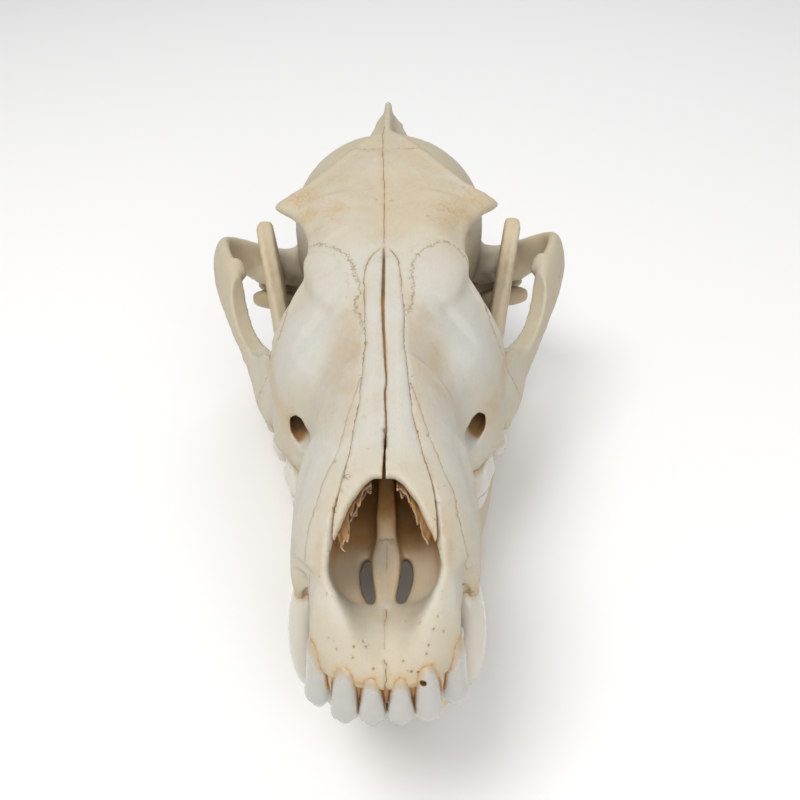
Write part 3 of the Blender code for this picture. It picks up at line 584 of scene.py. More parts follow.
# What is scooped out of the cranium, in the same kinds of rows. The nose: y, half width, floor, ridge top,
# widest height, roof. The notch and the fissure: x, y round their rims. The ridge in the nose: y, half width.
craniumHollows = {
    "palate": [
        (7, 0, 6.5, -8, -4, 0.6, 2.6), (20, 0, 9, -8, -4, 2, 2.6), (45, 0, 10.4, -8, -4, 2.8, 2.6),
        (62, 0, 13, -8, -4, 3, 2.6), (78, 0, 17, -8, -4, 3.4, 2.6), (92, 0, 15.5, -8, -4, 3.4, 2.6),
        (108, 0, 13, -8, -4, 2.6, 2.6),
    ],
    "throat": [
        (95, 0, 5.5, -3, 3, 9, 3), (104, 0, 7, -3, 3, 10, 3), (120, 0, 7.2, -3, 2, 8, 3),
        (140, 0, 7, -4, -1, 4, 3),
    ],
    "noseBowl": [
        (-8, 0, 4, 1, 20, 40, 2), (-1.5, 0, 5.4, 1, 20, 40, 2), (0, 0, 6, 2.6, 20, 40, 2),
        (2, 0, 6.8, 4.3, 19, 40, 2), (4.5, 0, 8, 5.2, 19, 40, 2), (8, 0, 9.4, 5.5, 17, 40, 2),
        (9.4, 0, 9.8, 5.5, 16, 34, 2), (10.4, 0, 8, 6.2, 15, 20, 2),
    ],
    "nasalCavity": [
        (7, 4.5, 9.5, 9.7, 15, 20), (9.5, 8.4, 6.2, 6.6, 15, 20.4), (12, 9.9, 5.3, 5.8, 14, 21.6),
        (16, 10.5, 5.2, 6, 14, 24.2), (21, 10.3, 5.2, 6.9, 14, 26.2), (26, 10, 5.4, 8.8, 14, 27.6),
        (28, 10, 5.6, 11.5, 14, 28.2), (36, 10.4, 6.2, 15, 15, 30.2), (48, 11.2, 7.6, 19, 17, 33.2),
        (60, 12, 9.6, 22, 20, 36.2), (72, 11.5, 12, 24, 23, 39.4), (82, 8, 14, 22, 25, 38),
    ],
    "noseNotch": [
        (0, 17.7), (1.6, 18.3), (3.2, 17.2), (5.2, 14.8), (6.9, 12.2), (8.2, 10.6), (8.9, 8), (7, -8),
    ],
    "notchHeights": (13, 45),
    "fissure": [
        (2.2, 10.7), (3, 11), (3.9, 13.4), (4.6, 16.8), (4.8, 20.2), (4.3, 23.3), (3.4, 24.8), (2.9, 24),
        (2.8, 21), (2.4, 17.5), (1.9, 14), (1.8, 11.5),
    ],
    "fissureHeights": (9, 5.5, -2),
    "spineHole": [(0, 170, 17, 7, 6.4), (0, 184, 16, 7.2, 6.6), (0, 200, 14, 8, 7.4)],
    "brain": [
        (121, 0, 6, 20, 33, 42, 2), (128, 0, 15, 12, 32, 50, 2), (142, 0, 24.5, 8, 32, 55, 2),
        (156, 0, 26, 7.5, 31, 55, 2), (170, 0, 21, 8, 29, 48, 2), (178, 0, 11, 10, 24, 38, 2),
    ],
    "noseToThroat": [(0, 74, 17, 6, 5), (0, 92, 11, 6, 4.5), (0, 112, 4, 6.5, 4.5)],
    "cheekCanal": [
        (18.3, 51, 11.2, 2.3, 3.7), (19.4, 64, 13, 2.1, 3.3), (23.4, 77, 17, 2, 2.8),
        (27.4, 90, 20.4, 2.4, 3.2),
    ],
    "earHole": [(40, 162.5, 9.5, 3, 2.6), (22.6, 161.2, 8.6, 2.7, 2.2)],
    "orbit": ((31.5, 101, 32.5), (14.5, 22.5, 17), 6),
    "behindOrbit": ((23.5, 118, 36), (8, 14, 13), 0),
    "lowerCanineBed": ((15.8, 11.2, 0), (4.3, 3.2, 7.2), 0),
    "ridgeWidth": ([8, 12, 16, 20, 24, 25.6, 26.6, 34, 60], [1.5, 1.8, 2.2, 2.6, 2.7, 2.3, 2, 1.7, 1.3]),
}

# Grains are the sizes of the cubes that forms are grown together from. fineNear says how near a seam, the
# slit and a pore the bone gets more points. All in mm, but for the counts.
craniumFinish = {
    "firstGrain": 0.8, "hollowGrain": 0.6, "grain": 0.55, "lipPasses": 70, "lineSpacing": 0.6,
    "seamWidth": 0.62, "fineNear": (0.9, 0.7, 0.6), "triangles": 194000,
}

# Strokes on the cranium: the width to each side, the height and the path, drawn on the animal's left and
# mirrored. More settings: sides, rough (how rough), grain (of what size), fade (how far in from each end).
craniumStrokes = {
    "forehead trough": (9, -0.9, [(0, 80, 44), (0, 92, 48), (0, 106, 52), (0, 120, 56)], {"sides": (1,)}),
    "brow swelling": (9, 0.9, [(9, 92, 47), (13, 102, 50), (15, 109, 51)]),
    "muzzle hollow": (10, -1.3, [(10, 50, 31), (13, 62, 33), (16, 72, 34)]),
    "nasal groove": (2.6, -0.45, [(0, 22, 28), (0, 45, 34), (0, 70, 41), (0, 84, 45)], {"sides": (1,)}),
    "nasal crown": (3, 0.3, [(3.2, 22, 28), (2.8, 45, 34), (2.6, 70, 41)]),
    "canine root": (5.5, 1, [(15.4, 22, 4.5), (15, 27, 10), (13.6, 33, 16), (11.6, 39, 21)]),
    "canine mouth": (3, -1, [(16.6, 12.6, -1), (18, 16.6, -1), (17.4, 21.6, -1)], {"fade": 0}),
    "canine notch": (2.8, -1.6, [(14.2, 11.6, -1), (14.6, 12.2, 2), (14.6, 12.8, 6), (14, 13.6, 11)]),
    "groove to the cheek hole": (4, -0.8, [(18.4, 58, 12.6), (16.6, 50, 11.6), (15.8, 43, 10.4)]),
    "side of the front jaw": (5, -1.2, [
        (12.6, 6.6, 1.5), (13.4, 8.8, 5), (13.8, 10.6, 9.5), (13.4, 12, 14),
    ]),
    "edge of the nose ridge": (0.9, 0.32, [(1.8, 11.5, 6), (2.3, 16, 6.4), (2.6, 20, 7), (2.6, 24, 8)]),
    "edge of the nose ridge behind": (0.9, 0.25, [(2, 27, 10.6), (1.8, 34, 14.4), (1.5, 46, 18.4)]),
    "nose rim": (1.5, 0.35, [(9.9, 11.5, 19.5), (9.9, 10.2, 17), (9.3, 8.1, 14.5), (7.2, 5, 12)]),
    "lip of the jaw": (4, 0.35, [(0, -1.6, 1), (6, 1.2, 1.5), (10.5, 6, 1)], {"fade": 0}),
    "orbit rim": (2.2, 0.55, [
        (17.6, 91, 43.5), (18.9, 85.4, 37.8), (22, 82, 33), (25.4, 81.6, 28), (29, 84, 22.6),
    ]),
    "brow rim": (2, 0.4, [(18, 92, 43.5), (18.6, 99, 45.5), (21.5, 105, 48), (27, 110, 49.6)]),
    "temple line": (1.9, 0.5, [
        (26.5, 112, 51), (22, 113, 53.5), (17.4, 118, 56.4), (13.5, 124, 58), (10, 130, 59.2),
        (6, 137, 60.4), (2.2, 144, 61.2),
    ], {"rough": 0.5}),
    "temple hollow": (7, -0.8, [(20, 119, 48), (19, 126, 50), (17, 134, 53)]),
    "cheek ridge": (2.4, 0.7, [(28, 84, 3), (32, 93, 8.5), (37, 104, 12.2), (42, 116, 16)], {"rough": 0.6}),
    "cheek hollow": (4.5, -0.5, [(27.4, 84, 12), (31, 91, 15), (34.5, 99, 17)]),
    "arch seam step": (1.6, 0.28, [(38.6, 111, 17.5), (42.5, 119, 22), (46, 129, 26.5), (48, 136, 30)]),
    "gum edge": (2.2, 0.45, [
        (16.9, 24, -1), (17.1, 40, -1), (18, 54, -1), (24, 70, -0.6), (28.6, 82, -0.4), (26.5, 93, -0.4),
    ], {"rough": 1.2, "grain": 1.4, "fade": 0.04}),
    "first premolar root": (2.2, 0.4, [(16.8, 27.6, -1), (16.9, 28.2, 3)]),
    "second premolar front root": (2.2, 0.45, [(16.8, 34.2, -1), (16.9, 35, 4)]),
    "second premolar back root": (2.2, 0.45, [(16.8, 39.6, -1), (16.9, 40, 4)]),
    "third premolar front root": (2.4, 0.5, [(17, 46.4, -1), (17, 47, 5)]),
    "third premolar back root": (2.4, 0.5, [(17.8, 52.4, -1), (17.6, 52.8, 5)]),
    "shearing tooth front root": (2.8, 0.55, [(20.6, 60, -1), (20.6, 60.6, 6)]),
    "shearing tooth back root": (3.2, 0.6, [(24.8, 71, -1), (25.2, 71.6, 6)]),
    "first molar front root": (2.4, 0.4, [(28.2, 79.6, -1), (28.6, 80, 4)]),
    "first molar back root": (2.4, 0.35, [(28, 85.6, -1), (28.2, 85.8, 4)]),
    "crest edge": (1.6, 0.3, [
        (0, 148, 61.8), (0, 165, 62.2), (0, 180, 62.2), (0, 196, 61.4),
    ], {"rough": 2, "grain": 3, "sides": (1,), "fade": 0.03}),
    "neck crest edge": (3, 0.5, [
        (1, 195.6, 58), (8, 191.6, 47.5), (15.5, 186.4, 39.5), (22.6, 180, 30), (27, 174.4, 20),
    ], {"rough": 1.6, "grain": 2.6, "fade": 0.03}),
    "neck crest hollow": (4.5, -0.7, [(5, 186, 48), (12, 181, 41), (19, 175.5, 32), (24, 169, 22)]),
    "neck muscle ridge": (2.2, 0.9, [
        (0, 195, 52), (0, 192.5, 44), (0, 189.5, 34), (0, 186.5, 26),
    ], {"sides": (1,)}),
    "neck muscle hollow": (4.5, -0.8, [(6, 191, 40), (9, 188.5, 33), (12, 185, 26)]),
    "skull base keel": (2.2, 0.5, [(0, 140, 1), (0, 158, 0.5), (0, 174, 1)], {"sides": (1,)}),
    "skull base tubercle": (2.4, 0.8, [(5, 150, 1.2), (5.4, 162, 0.8)], {"rough": 0.6}),
    "wing of the jaw socket": (2.4, 0.5, [(29, 146, 17), (35, 147, 16.5), (41, 148, 18)]),
    "palate seam ridge": (1.6, 0.35, [(0, 14, 1), (0, 50, 2.4), (0, 90, 3)], {"sides": (1,)}),
    "palate groove": (1.6, -0.5, [(9, 62, 2.4), (8.4, 50, 2), (7, 36, 1.8), (5.4, 26, 1.6)]),
    "braincase vessel": (1.2, -0.22, [(26.4, 160, 40), (27.6, 152, 38), (27.4, 144, 39), (25.6, 137, 42)]),
    "side seam ledge": (1.4, -0.2, [
        (26, 138, 20), (28.4, 144, 30), (28.4, 152, 38), (27, 162, 38.5), (24.6, 171, 33),
    ]),
}

# Holes for nerves and vessels, on both sides: where, how wide, how deep.
craniumPits = [
    ((20.6, 87.5, 31.5), 1.5, 3), ((12.9, 113.5, 20), 1.9, 3.2), ((14.2, 119.5, 15.5), 2.1, 3.2),
    ((15.2, 125, 11.5), 1.5, 2.6), ((12.6, 103, 31), 0.9, 2), ((13.4, 93, 14), 2.1, 3),
    ((14, 128.5, 7.5), 1.5, 2.4), ((9.6, 171.5, 3), 2.2, 3), ((12.2, 176.5, 4), 1.2, 2.4),
    ((24.8, 164.5, 1.5), 1.2, 2.2), ((9.2, 61.5, 2.6), 1.2, 2.4), ((8.6, 66.5, 2.8), 0.9, 1.8),
    ((30.5, 158.2, 12.6), 1, 2), ((11.6, 188.2, 26), 0.8, 1.4), ((8.8, 147.6, 2), 1, 1.8),
    ((5.5, 118, 47), 0.7, 0.8),
]

# Fine pores of the face, as wide as the points show: where, how wide, how deep.
facePores = [
    ((-11, 37.1, 26.9), 0.29, 0.45), ((11.2, 36.4, 26.6), 0.27, 0.45), ((8.1, 28.9, 28.4), 0.23, 0.38),
    ((-8.7, 23.2, 26.6), 0.35, 0.6), ((-12, 15, 20.8), 0.24, 0.38), ((12.3, 17.4, 21.6), 0.27, 0.45),
    ((12.3, 15.2, 20.3), 0.24, 0.38), ((-5.7, 18.4, 26.4), 0.23, 0.38), ((-13.4, 10.7, 13), 0.23, 0.38),
    ((-3.3, 1.4, 5.7), 0.23, 0.38), ((5.1, 2.6, 8.6), 0.23, 0.38), ((-3.4, 31.7, 30.6), 0.2, 0.38),
    ((-13.4, 115.2, 54.4), 0.23, 0.38), ((-4, 53.5, 36), 0.19, 0.3), ((2.8, 67.9, 40.2), 0.19, 0.3),
    ((1.6, 104.8, 52), 0.27, 0.45), ((-2.2, 105.4, 52), 0.22, 0.38), ((19.3, 112.6, 52.7), 0.22, 0.38),
    ((4.6, 136.2, 59.4), 0.22, 0.38), ((9.9, 97.5, 49.2), 0.22, 0.38), ((-4.8, -0.3, 5.9), 0.2, 0.38),
    ((-2.8, 0.7, 5.2), 0.2, 0.38), ((-3.2, 27.2, 5.8), 0.23, 0.38), ((-3, 25.6, 5.6), 0.2, 0.38),
    ((-3.1, 32, 6.2), 0.2, 0.38), ((7, 0.6, 5.4), 0.2, 0.38), ((-7.6, 1, 4.6), 0.19, 0.38),
    ((9.6, 2.2, 6.8), 0.19, 0.38), ((4.2, -1.5, 1.8), 0.23, 0.45), ((5.2, -1.4, 1.6), 0.2, 0.38),
    ((-5.2, -0.6, 4), 0.18, 0.3), ((6.6, 0, 4.2), 0.18, 0.3), ((-9.2, 1.6, 6.2), 0.18, 0.3),
    ((8.6, 3.2, 9), 0.19, 0.3), ((2.8, -0.9, 3.4), 0.22, 0.38), ((-1.9, -1.2, 2.2), 0.23, 0.38),
    ((7.9, 1.8, 7.6), 0.22, 0.38),
]

# Seams between bones: the groove's depth, how dark its stain is, how far it wanders, and its path. Left and
# right are the picture's here, so left has x under 0.
seams = {
    "nasal left": (0.24, 0.95, 0.03, [
        (-0.5, 86.3, 46.4), (-2.9, 83.6, 45.4), (-4.2, 79.4, 44), (-4.7, 74.3, 42.4), (-4.5, 66, 40),
        (-4.5, 58.3, 37.6), (-4.4, 50.4, 35.2), (-4.5, 44.6, 33.6), (-4.8, 39.5, 32.2), (-4.7, 37.1, 31.6),
        (-5.6, 28.8, 29.4), (-6.2, 22.5, 27.6), (-7.1, 17.4, 25), (-7.9, 14.4, 22.6), (-8.5, 12.2, 20.6),
    ]),
    "nasal right": (0.24, 0.95, 0.03, [
        (0.5, 85.9, 46.4), (2.4, 82.6, 45.2), (3.2, 77.4, 43.4), (3.6, 69.9, 41), (4.2, 61.8, 38.6),
        (4.1, 58.6, 37.6), (4.4, 51.9, 35.7), (4.7, 44.4, 33.5), (5, 37, 31.4), (5.5, 31.9, 30.2),
        (6.5, 26.4, 28.6), (7.3, 22, 27.2), (8, 18.2, 25), (8.5, 14.5, 22.4), (8.9, 12.2, 20.6),
    ]),
    "front jaw left": (0.08, 0.42, 0.16, [
        (-4.6, 44.6, 33.6), (-5.9, 38.1, 31.4), (-6.9, 33, 29.8), (-7.7, 26.7, 27.6), (-8.9, 23.2, 26.4),
        (-9.7, 21.5, 25.4), (-10.5, 19.1, 23.9), (-11, 17.1, 22.6), (-12, 15.2, 20.9), (-12.9, 12.9, 17.5),
        (-13.6, 10.9, 12.8), (-14, 10.2, 9.2), (-14, 11.6, 5), (-13.6, 12.2, 1),
    ]),
    "front jaw right": (0.08, 0.46, 0.16, [
        (4.8, 43.7, 33.2), (6.1, 37.8, 31.3), (6.6, 36.6, 31), (7.9, 29.9, 28.6), (9.3, 25.2, 26.4),
        (10.7, 20.9, 24.4), (11.8, 18.7, 22.8), (12.1, 16, 21), (12.9, 13.9, 18.8), (13.7, 12.5, 15.3),
        (14.6, 12.2, 11.4), (14.9, 12.4, 8.1), (14.4, 12.6, 4.4), (13.8, 12.4, 1),
    ]),
    "brow left": (0.12, 0.6, 1, [
        (-4.7, 58.4, 37.7), (-5.1, 60.8, 38.2), (-6.6, 66.8, 39.8), (-5.4, 70.3, 41), (-6.3, 75.4, 42.4),
        (-7.3, 80, 43.6), (-8.6, 83.9, 44.6), (-10.9, 86.5, 45), (-13.4, 89.3, 45.1), (-15.9, 91.8, 44.7),
        (-18, 94.3, 42.8),
    ]),
    "brow right": (0.12, 0.6, 1, [
        (4.2, 61.8, 38.6), (5.7, 66.2, 39.8), (6.1, 70.9, 41.2), (5.9, 77.6, 43.2), (7.1, 83, 44.8),
        (10, 87.1, 45.4), (13, 89.8, 45.4), (15.3, 90.6, 44.6), (17, 89.5, 43.1), (18.9, 85.4, 37.8),
    ]),
    "forehead": (0.2, 0.8, 0.08, [
        (-0.8, 152, 61.6), (-1, 148.5, 61), (-1.1, 138.3, 60), (-0.8, 124, 57.4), (-0.5, 113.1, 54.4),
        (-0.4, 103.8, 51.8), (-0.3, 95.4, 49.2), (-0.4, 86.3, 46.4),
    ]),
    "front jaw crack": (0.3, 0.95, 0.04, [(0, 9.4, 5.6), (0.15, 8.2, 5.8), (0, 7, 5.8), (-0.15, 6.2, 5.7)]),
    "front jaw middle": (0.08, 0.3, 0.12, [(-0.15, 6.2, 5.7), (-0.1, 4.4, 5.4), (-0.1, 1.3, 3.8)]),
    "front jaw gap": (0.35, 1, 0.02, [
        (-0.25, 0.1, 2.9), (0.1, -0.7, 2.2), (0.2, -1.5, 1.5), (0, -2.1, 0.4), (0, -2.2, -1.8),
    ]),
    "vomer step": (0.15, 0.45, 0.05, [
        (-1.9, 25.8, 8.4), (-0.8, 25.4, 8.7), (0, 25.7, 8.7), (0.9, 25.4, 8.7), (1.9, 25.8, 8.4),
    ]),
    "ridge middle": (0.1, 0.35, 0.1, [(0, 25, 8.2), (0.1, 22, 6.8), (0, 18.5, 6.3)]),
    "palate middle": (0.2, 0.6, 0.25, [(0, 8, 0.5), (0, 30, 2.4), (0, 60, 3.2), (0, 92, 3.2)]),
}

# Seams with a mirrored twin.
pairedSeams = {
    "palate across": (0.14, 0.5, 0.8, [(0, 58, 3), (6, 59, 2.8), (10, 66, 2), (13, 76, 1)]),
    "arch": (0.1, 0.32, 0.2, [
        (37, 109.5, 14), (38.6, 111, 17.5), (42.5, 119, 22), (46, 129, 26.5), (48, 137, 30),
    ]),
    "cheek": (0.2, 0.55, 0.5, [
        (20.4, 83.6, 34), (23, 80.5, 30), (25.6, 79.6, 22), (28, 82, 14), (29.6, 86, 7),
    ]),
    "crown": (0.14, 0.42, 0.9, [
        (0.9, 131, 59), (6, 132, 58.4), (11, 133.5, 56), (18, 134, 51), (23, 132, 42), (24, 129, 32),
        (21, 126, 22),
    ]),
    "side": (0.14, 0.45, 0.6, [
        (24, 130, 22), (27, 138, 28), (28.6, 147, 36), (28, 158, 38.6), (25.6, 168, 35), (24.6, 174, 28),
    ]),
}

for pairName, (*pairLooks, pairPath) in pairedSeams.items():
    seams[pairName + " left"] = (*pairLooks, mirrored(pairPath, -1))
    seams[pairName + " right"] = (*pairLooks, pairPath)

# The dark slit that is open between the nasal bones: its path on the bone, half its width there, its depth.
slit = {
    "path": [
        (-0.4, 87.6, 46.6), (-0.4, 77.2, 43.2), (-0.4, 69.4, 41), (-0.3, 60.3, 38.2), (0, 50.9, 35.4),
        (0.3, 42.5, 33.2), (0.1, 38.9, 32.2), (0.3, 30.7, 30.2), (0, 18, 26.8),
    ],
    "halfWidth": [0.16, 0.26, 0.28, 0.24, 0.18, 0.13, 0.12, 0.12, 0.16],
    "deep": 2,
}


def noseRings():
    # two passages under one roof, with a ridge between them that rises towards the back
    rings = []
    for y, wide, floor, ridge, middle, roof in smoothRows(craniumHollows["nasalCavity"], 3):
        broad = np.interp(y, *craniumHollows["ridgeWidth"])
        low, high = middle - floor, roof - middle
        half = [
            (0.0, ridge), (0.6 * broad, ridge - 0.1), (0.9 * broad, ridge - 0.35),
            (broad + 0.2, min(ridge - 0.6, floor + 0.5)), (0.4 * wide, floor),
            (0.62 * wide, floor + 0.04 * low),
            (0.86 * wide, floor + 0.24 * low), (wide, middle), (0.95 * wide, middle + 0.35 * high),
            (0.82 * wide, middle + 0.64 * high), (0.58 * wide, middle + 0.86 * high),
            (0.3 * wide, roof - 0.3),
            (0.0, roof),
        ]
        rings.append([(x, y, z) for x, z in half] + [(-x, y, z) for x, z in reversed(half[1:-1])])
    return rings


def craniumBody():
    f = craniumForms
    squareBelow = {"muzzle": 3.2, "forehead": 1.3, "orbitWall": 2.0, "braincase": 2.6, "skullBase": 3.0}
    forms = [crossLoft(key, f[key], lowPower=power) for key, power in squareBelow.items()]
    forms += [
        levelLoft("occiput", f["occiput"]),
        longPlate("sagittal crest", f["sagittalCrest"], f["sagittalSides"]),
    ]
    back = (0, 1, 0)
    for side in (1, -1):
        forms += [
            bar("arch", f["arch"], side, power=2.4, lean=0.22),
            bar("orbit spur", f["orbitSpur"], side),
            bar("nuchal crest", f["nuchalCrest"], side, tallToward=back),
            bar("jaw stop", f["jawStop"], side),
            bar("neck spur", f["neckSpur"], side, tallToward=back),
            longPlate("pterygoid", f["pterygoid"], f["pterygoidSides"], side),
        ]
        forms += [egg(key, f[key], side) for key in ("neckJoint", "earCapsule", "jawSocket", "mastoid")]
    body = grownTogether(joined("cranium", forms), craniumFinish["firstGrain"])
    return applied(body, "SMOOTH", factor=0.5, iterations=5)


def craniumCutter():
    h = craniumHollows
    hollows = [
        crossLoft("palate", h["palate"], lowPower=4.0),
        crossLoft("throat", h["throat"]),
        crossLoft("nose bowl", h["noseBowl"], lowPower=2.2),
        tube("nasal cavity", noseRings()),
        crossLoft("brain", h["brain"]),
        bar("spine hole", h["spineHole"]),
        bar("nose to throat", h["noseToThroat"]),
    ]
    notch = smoothRows(h["noseNotch"], 3)
    low, high = h["notchHeights"]
    rim = [(x, y, low) for x, y in notch] + [(-x, y, low) for x, y in notch[:0:-1]]
    hollows.append(plate("nose notch", rim, (0, 0, high - low)))
    level = h["fissureHeights"][1]
    for side in (1, -1):
        slot = smoothRows([*h["fissure"], h["fissure"][0]], 3)[:-1]
        rings = [[(x * side, y - 0.8 * (z - level), z) for x, y in slot] for z in h["fissureHeights"]]
        hollows.append(tube("fissure", rings))
        hollows += [egg(key, h[key], side) for key in ("orbit", "behindOrbit", "lowerCanineBed")]
        hollows += [bar(key, h[key], side) for key in ("cheekCanal", "earHole")]
    return grownTogether(joined("hollows", hollows), craniumFinish["hollowGrain"])


# The nasal bones' free tips, and the gap beside each.
nasalTips = {"gapLength": 12, "gapWidth": 0.9}


def nasalGap(tree, line):
    # the open end of the seam beside a nasal bone's tip, cut along the seam and narrowing upwards
    line = line[-int(nasalTips["gapLength"] / craniumFinish["lineSpacing"]):]
    past = line[-1] + (line[-1] - line[-4]) * 2.2  # out past the edge of the bone
    line = np.array([*line, 0.5 * (line[-1] + past), past])
    out = outwards(tree, line).mean(axis=0)
    reach = np.linspace(0, 1, len(line))
    half = nasalTips["gapWidth"] / 2
    rows = [(*spot, half * (0.14 + 0.86 * t**1.5), 2.0 + t) for spot, t in zip(line, reach)]
    return bar("nasal tip gap", rows[::2] + rows[-1:], 1, tallToward=tuple(out), points=12, steps=2)


def makeCranium():
    finish = craniumFinish
    bone = grownTogether(carved(craniumBody(), craniumCutter()), finish["grain"])
    applied(bone, "SMOOTH", factor=0.5, iterations=4)
    print("cranium grown,", triangles(bone), "triangles")
    x, y, z = getSpots(bone).T
    lip = (1 - ease(y, 7.5, 10.5)) * ease(z, -0.8, 1.2) * (1 - ease(z, 13, 16))
    lip *= 1 - ease(np.abs(x), 11, 13.5)
    melted(bone, lip, finish["lipPasses"])
    stroked(bone, craniumStrokes, surfaceTree(bone))
    tree = surfaceTree(bone)
    lines = {key: onSurface(tree, along(seam[3], finish["lineSpacing"])) for key, seam in seams.items()}
    slitLine = onSurface(tree, along(slit["path"], finish["lineSpacing"]))
    pores = onSurface(tree, [pore[0] for pore in facePores])
    gaps = [nasalGap(tree, line) for line in (lines["nasal right"], lines["nasal left"], slitLine)]
    carved(bone, joined("gaps", gaps))
    first, second, third = finish["fineNear"]
    refined(bone, nearPaths(bone, [*lines.values(), slitLine], first) | nearSpots(bone, pores, first))
    refined(bone, nearPaths(bone, [slitLine], second) | nearSpots(bone, pores, third))
    pitted(bone, craniumPits, tree)
    pitted(bone, facePores, tree, (1,))
    spots, normals = getSpots(bone), getNormals(bone)
    wide = finish["seamWidth"]
    for key, line in lines.items():
        near, gap, place, _, _ = nearPath(spots, line, wide)
        deep = seams[key][0]
        if "nasal" in key:
            deep = deep * ease(spots[near, 1], 21, 25)  # the seam is open at the tips
        spots[near] -= normals[near] * ((1 - gap / wide) ** 1.5 * deep * ease(place, -0.01, 0.04))[:, None]
    near, gap, place, _, _ = nearPath(spots, slitLine, 1.0)
    half = np.interp(place, np.linspace(0, 1, len(slit["halfWidth"])), slit["halfWidth"])
    up = normals[near, 2] > 0.3
    shape = slit["deep"] * (1 - ease(gap / half, 0.55, 1.5)) * up * ease(place, 0, 0.05)
    spots[near, 2] -= shape * (1 - ease(place, 0.9, 0.96))  # it is open in front
    spots += normals * (0.10 * roughness(spots, 5.0) + 0.05 * roughness(spots, 1.7, 7.0))[:, None]
    setSpots(bone, spots)
    thinned(bone, finish["triangles"])
    bars = [
        bar("bone between teeth", rows, side, tallToward=(0, 1, 0))
        for side in (1, -1) for rows in craniumForms["betweenTeeth"][side < 0:]]
    bone = joined("cranium", [bone, *bars])
    print("cranium shaped,", triangles(bone), "triangles")
    # neighbouring seams run opposite ways, so that the bone between two of them is on the same side of both
    drawn = [(line[::-1] if "front jaw" in key else line, *seams[key][1:3]) for key, line in lines.items()]
    drawn.append((slitLine[::-1], 1.0, 0.0))
    storeSeams(bone, [(line, outwards(tree, line), dark, zigzag) for line, dark, zigzag in drawn], pores)
    return bone


# The jaw

# One half of the jaw, on the animal's left.
jawForms = {
    "dentary": [
        (3.8, 2.2, 2.2, -12.2, -11, -9.6, 2), (6, 3.2, 3.4, -15.6, -12.6, -9.4, 2),
        (9.8, 4.6, 5.2, -19.6, -14.8, -9.8, 2), (14, 5.6, 6.4, -23.8, -17.2, -10.6, 2),
        (20, 6.2, 6.8, -26.2, -18.8, -11.4, 2), (28, 7.2, 6.4, -27.8, -19.6, -12, 2),
        (33, 8.3, 5, -28.3, -20.1, -12.2, 2), (38, 9.4, 4.3, -28.8, -20.6, -12.4, 2),
        (50, 12.4, 4.1, -30, -21.2, -12.4, 2), (62, 15.4, 4.3, -31.2, -21.4, -12.2, 2),
        (75, 18.4, 4.7, -31.4, -21, -11.4, 2), (88, 21.4, 4.6, -30.2, -19.6, -9.6, 2),
        (99, 23.8, 4.2, -28, -17.6, -7, 2), (110, 26, 3.4, -25, -14, -3, 2),
        (122, 28.4, 2.6, -20.8, -11, -1, 2), (134, 30.4, 2.2, -17.8, -10, -2, 2),
        (143, 31.2, 1.8, -17, -10, -4, 2),
    ],
    "coronoidEdge": [
        (24.6, 97, -9, 2.6, 3), (26.4, 104, 0.5, 2.2, 2.4), (29, 113, 11.5, 1.8, 2.2),
        (31.8, 122, 22.5, 1.6, 2), (34.4, 130.5, 31.6, 1.4, 1.8), (35.9, 137, 35.6, 1.3, 1.5),
        (36.8, 143.5, 35.2, 1, 1.3),
    ],
    "condyle": [
        (26.2, 151.2, 7.4, 2, 2.2), (30, 150.8, 9.2, 2.9, 3.1), (35, 150, 10.4, 3.1, 3.2),
        (39.6, 149.4, 11, 2.7, 2.7), (42, 149, 11.2, 1.4, 1.5),
    ],
    "jawAngle": [
        (31, 136, -14.6, 2.4, 3.2), (31.6, 144, -15.8, 2.6, 3.8), (32, 150.5, -14.8, 2.4, 3.4),
        (32.2, 156.5, -11, 1.3, 1.6),
    ],
    "ramus": [
        (96, -12), (99, -6), (107, 5), (116, 16), (124, 26), (131, 33.5), (136.5, 36.6), (142, 37),
        (146.5, 34), (147, 28), (145.2, 20), (144, 13.5), (145.5, 9.8), (149.5, 9), (151, 4), (147.5, -2.5),
        (148, -8), (151, -13), (146, -17.5), (138, -17), (126, -19), (112, -23.5), (100, -26),
    ],
    "ramusSides": (9.2, 12.8),
    "ramusLean": (0.135, 0.135),
    "muscleBed": ((38.6, 130, 3), (8, 15, 15), -8),
}

# Strokes and pits are like the cranium's, on one side.
jawFinish = {"firstGrain": 0.8, "grain": 0.5, "chinGap": 0.4, "triangles": 90000}

jawStrokes = {
    "muscle ridge in front": (2.2, 0.5, [
        (25.6, 99, -10), (28.6, 106, -2), (31.4, 114, 8), (34.6, 123, 19),
    ]),
    "muscle ridge below": (2.2, 0.5, [
        (29.4, 112, -18), (31.4, 122, -16.5), (33, 134, -14.5), (33.6, 144, -13.5),
    ], {"rough": 0.8}),
    "gum edge": (1.8, 0.35, [
        (11, 22, -11.6), (12, 34, -12), (15, 50, -12), (19, 66, -11.8), (23, 82, -10.6), (26, 97, -7.4),
    ], {"rough": 1.2, "grain": 1.4, "fade": 0.04}),
    "canine root": (4.5, 0.7, [(9.6, 16, -12), (9.4, 20, -18), (9.2, 26, -22)]),
    "shearing tooth front root": (2.8, 0.4, [(19, 68.6, -12), (19.6, 69, -18)]),
    "shearing tooth back root": (2.8, 0.4, [(21.6, 79, -11), (22, 79.4, -17)]),
    "chin roughness": (3, 0.35, [
        (1.6, 5, -15), (1.8, 12, -21), (2.4, 22, -25), (3.4, 30, -27),
    ], {"rough": 2.5, "grain": 1.4}),
    "coronoid edge": (1.8, 0.3, [(31.8, 120, 22.5), (34.4, 129, 32), (36.4, 138, 37)], {"rough": 1}),
}

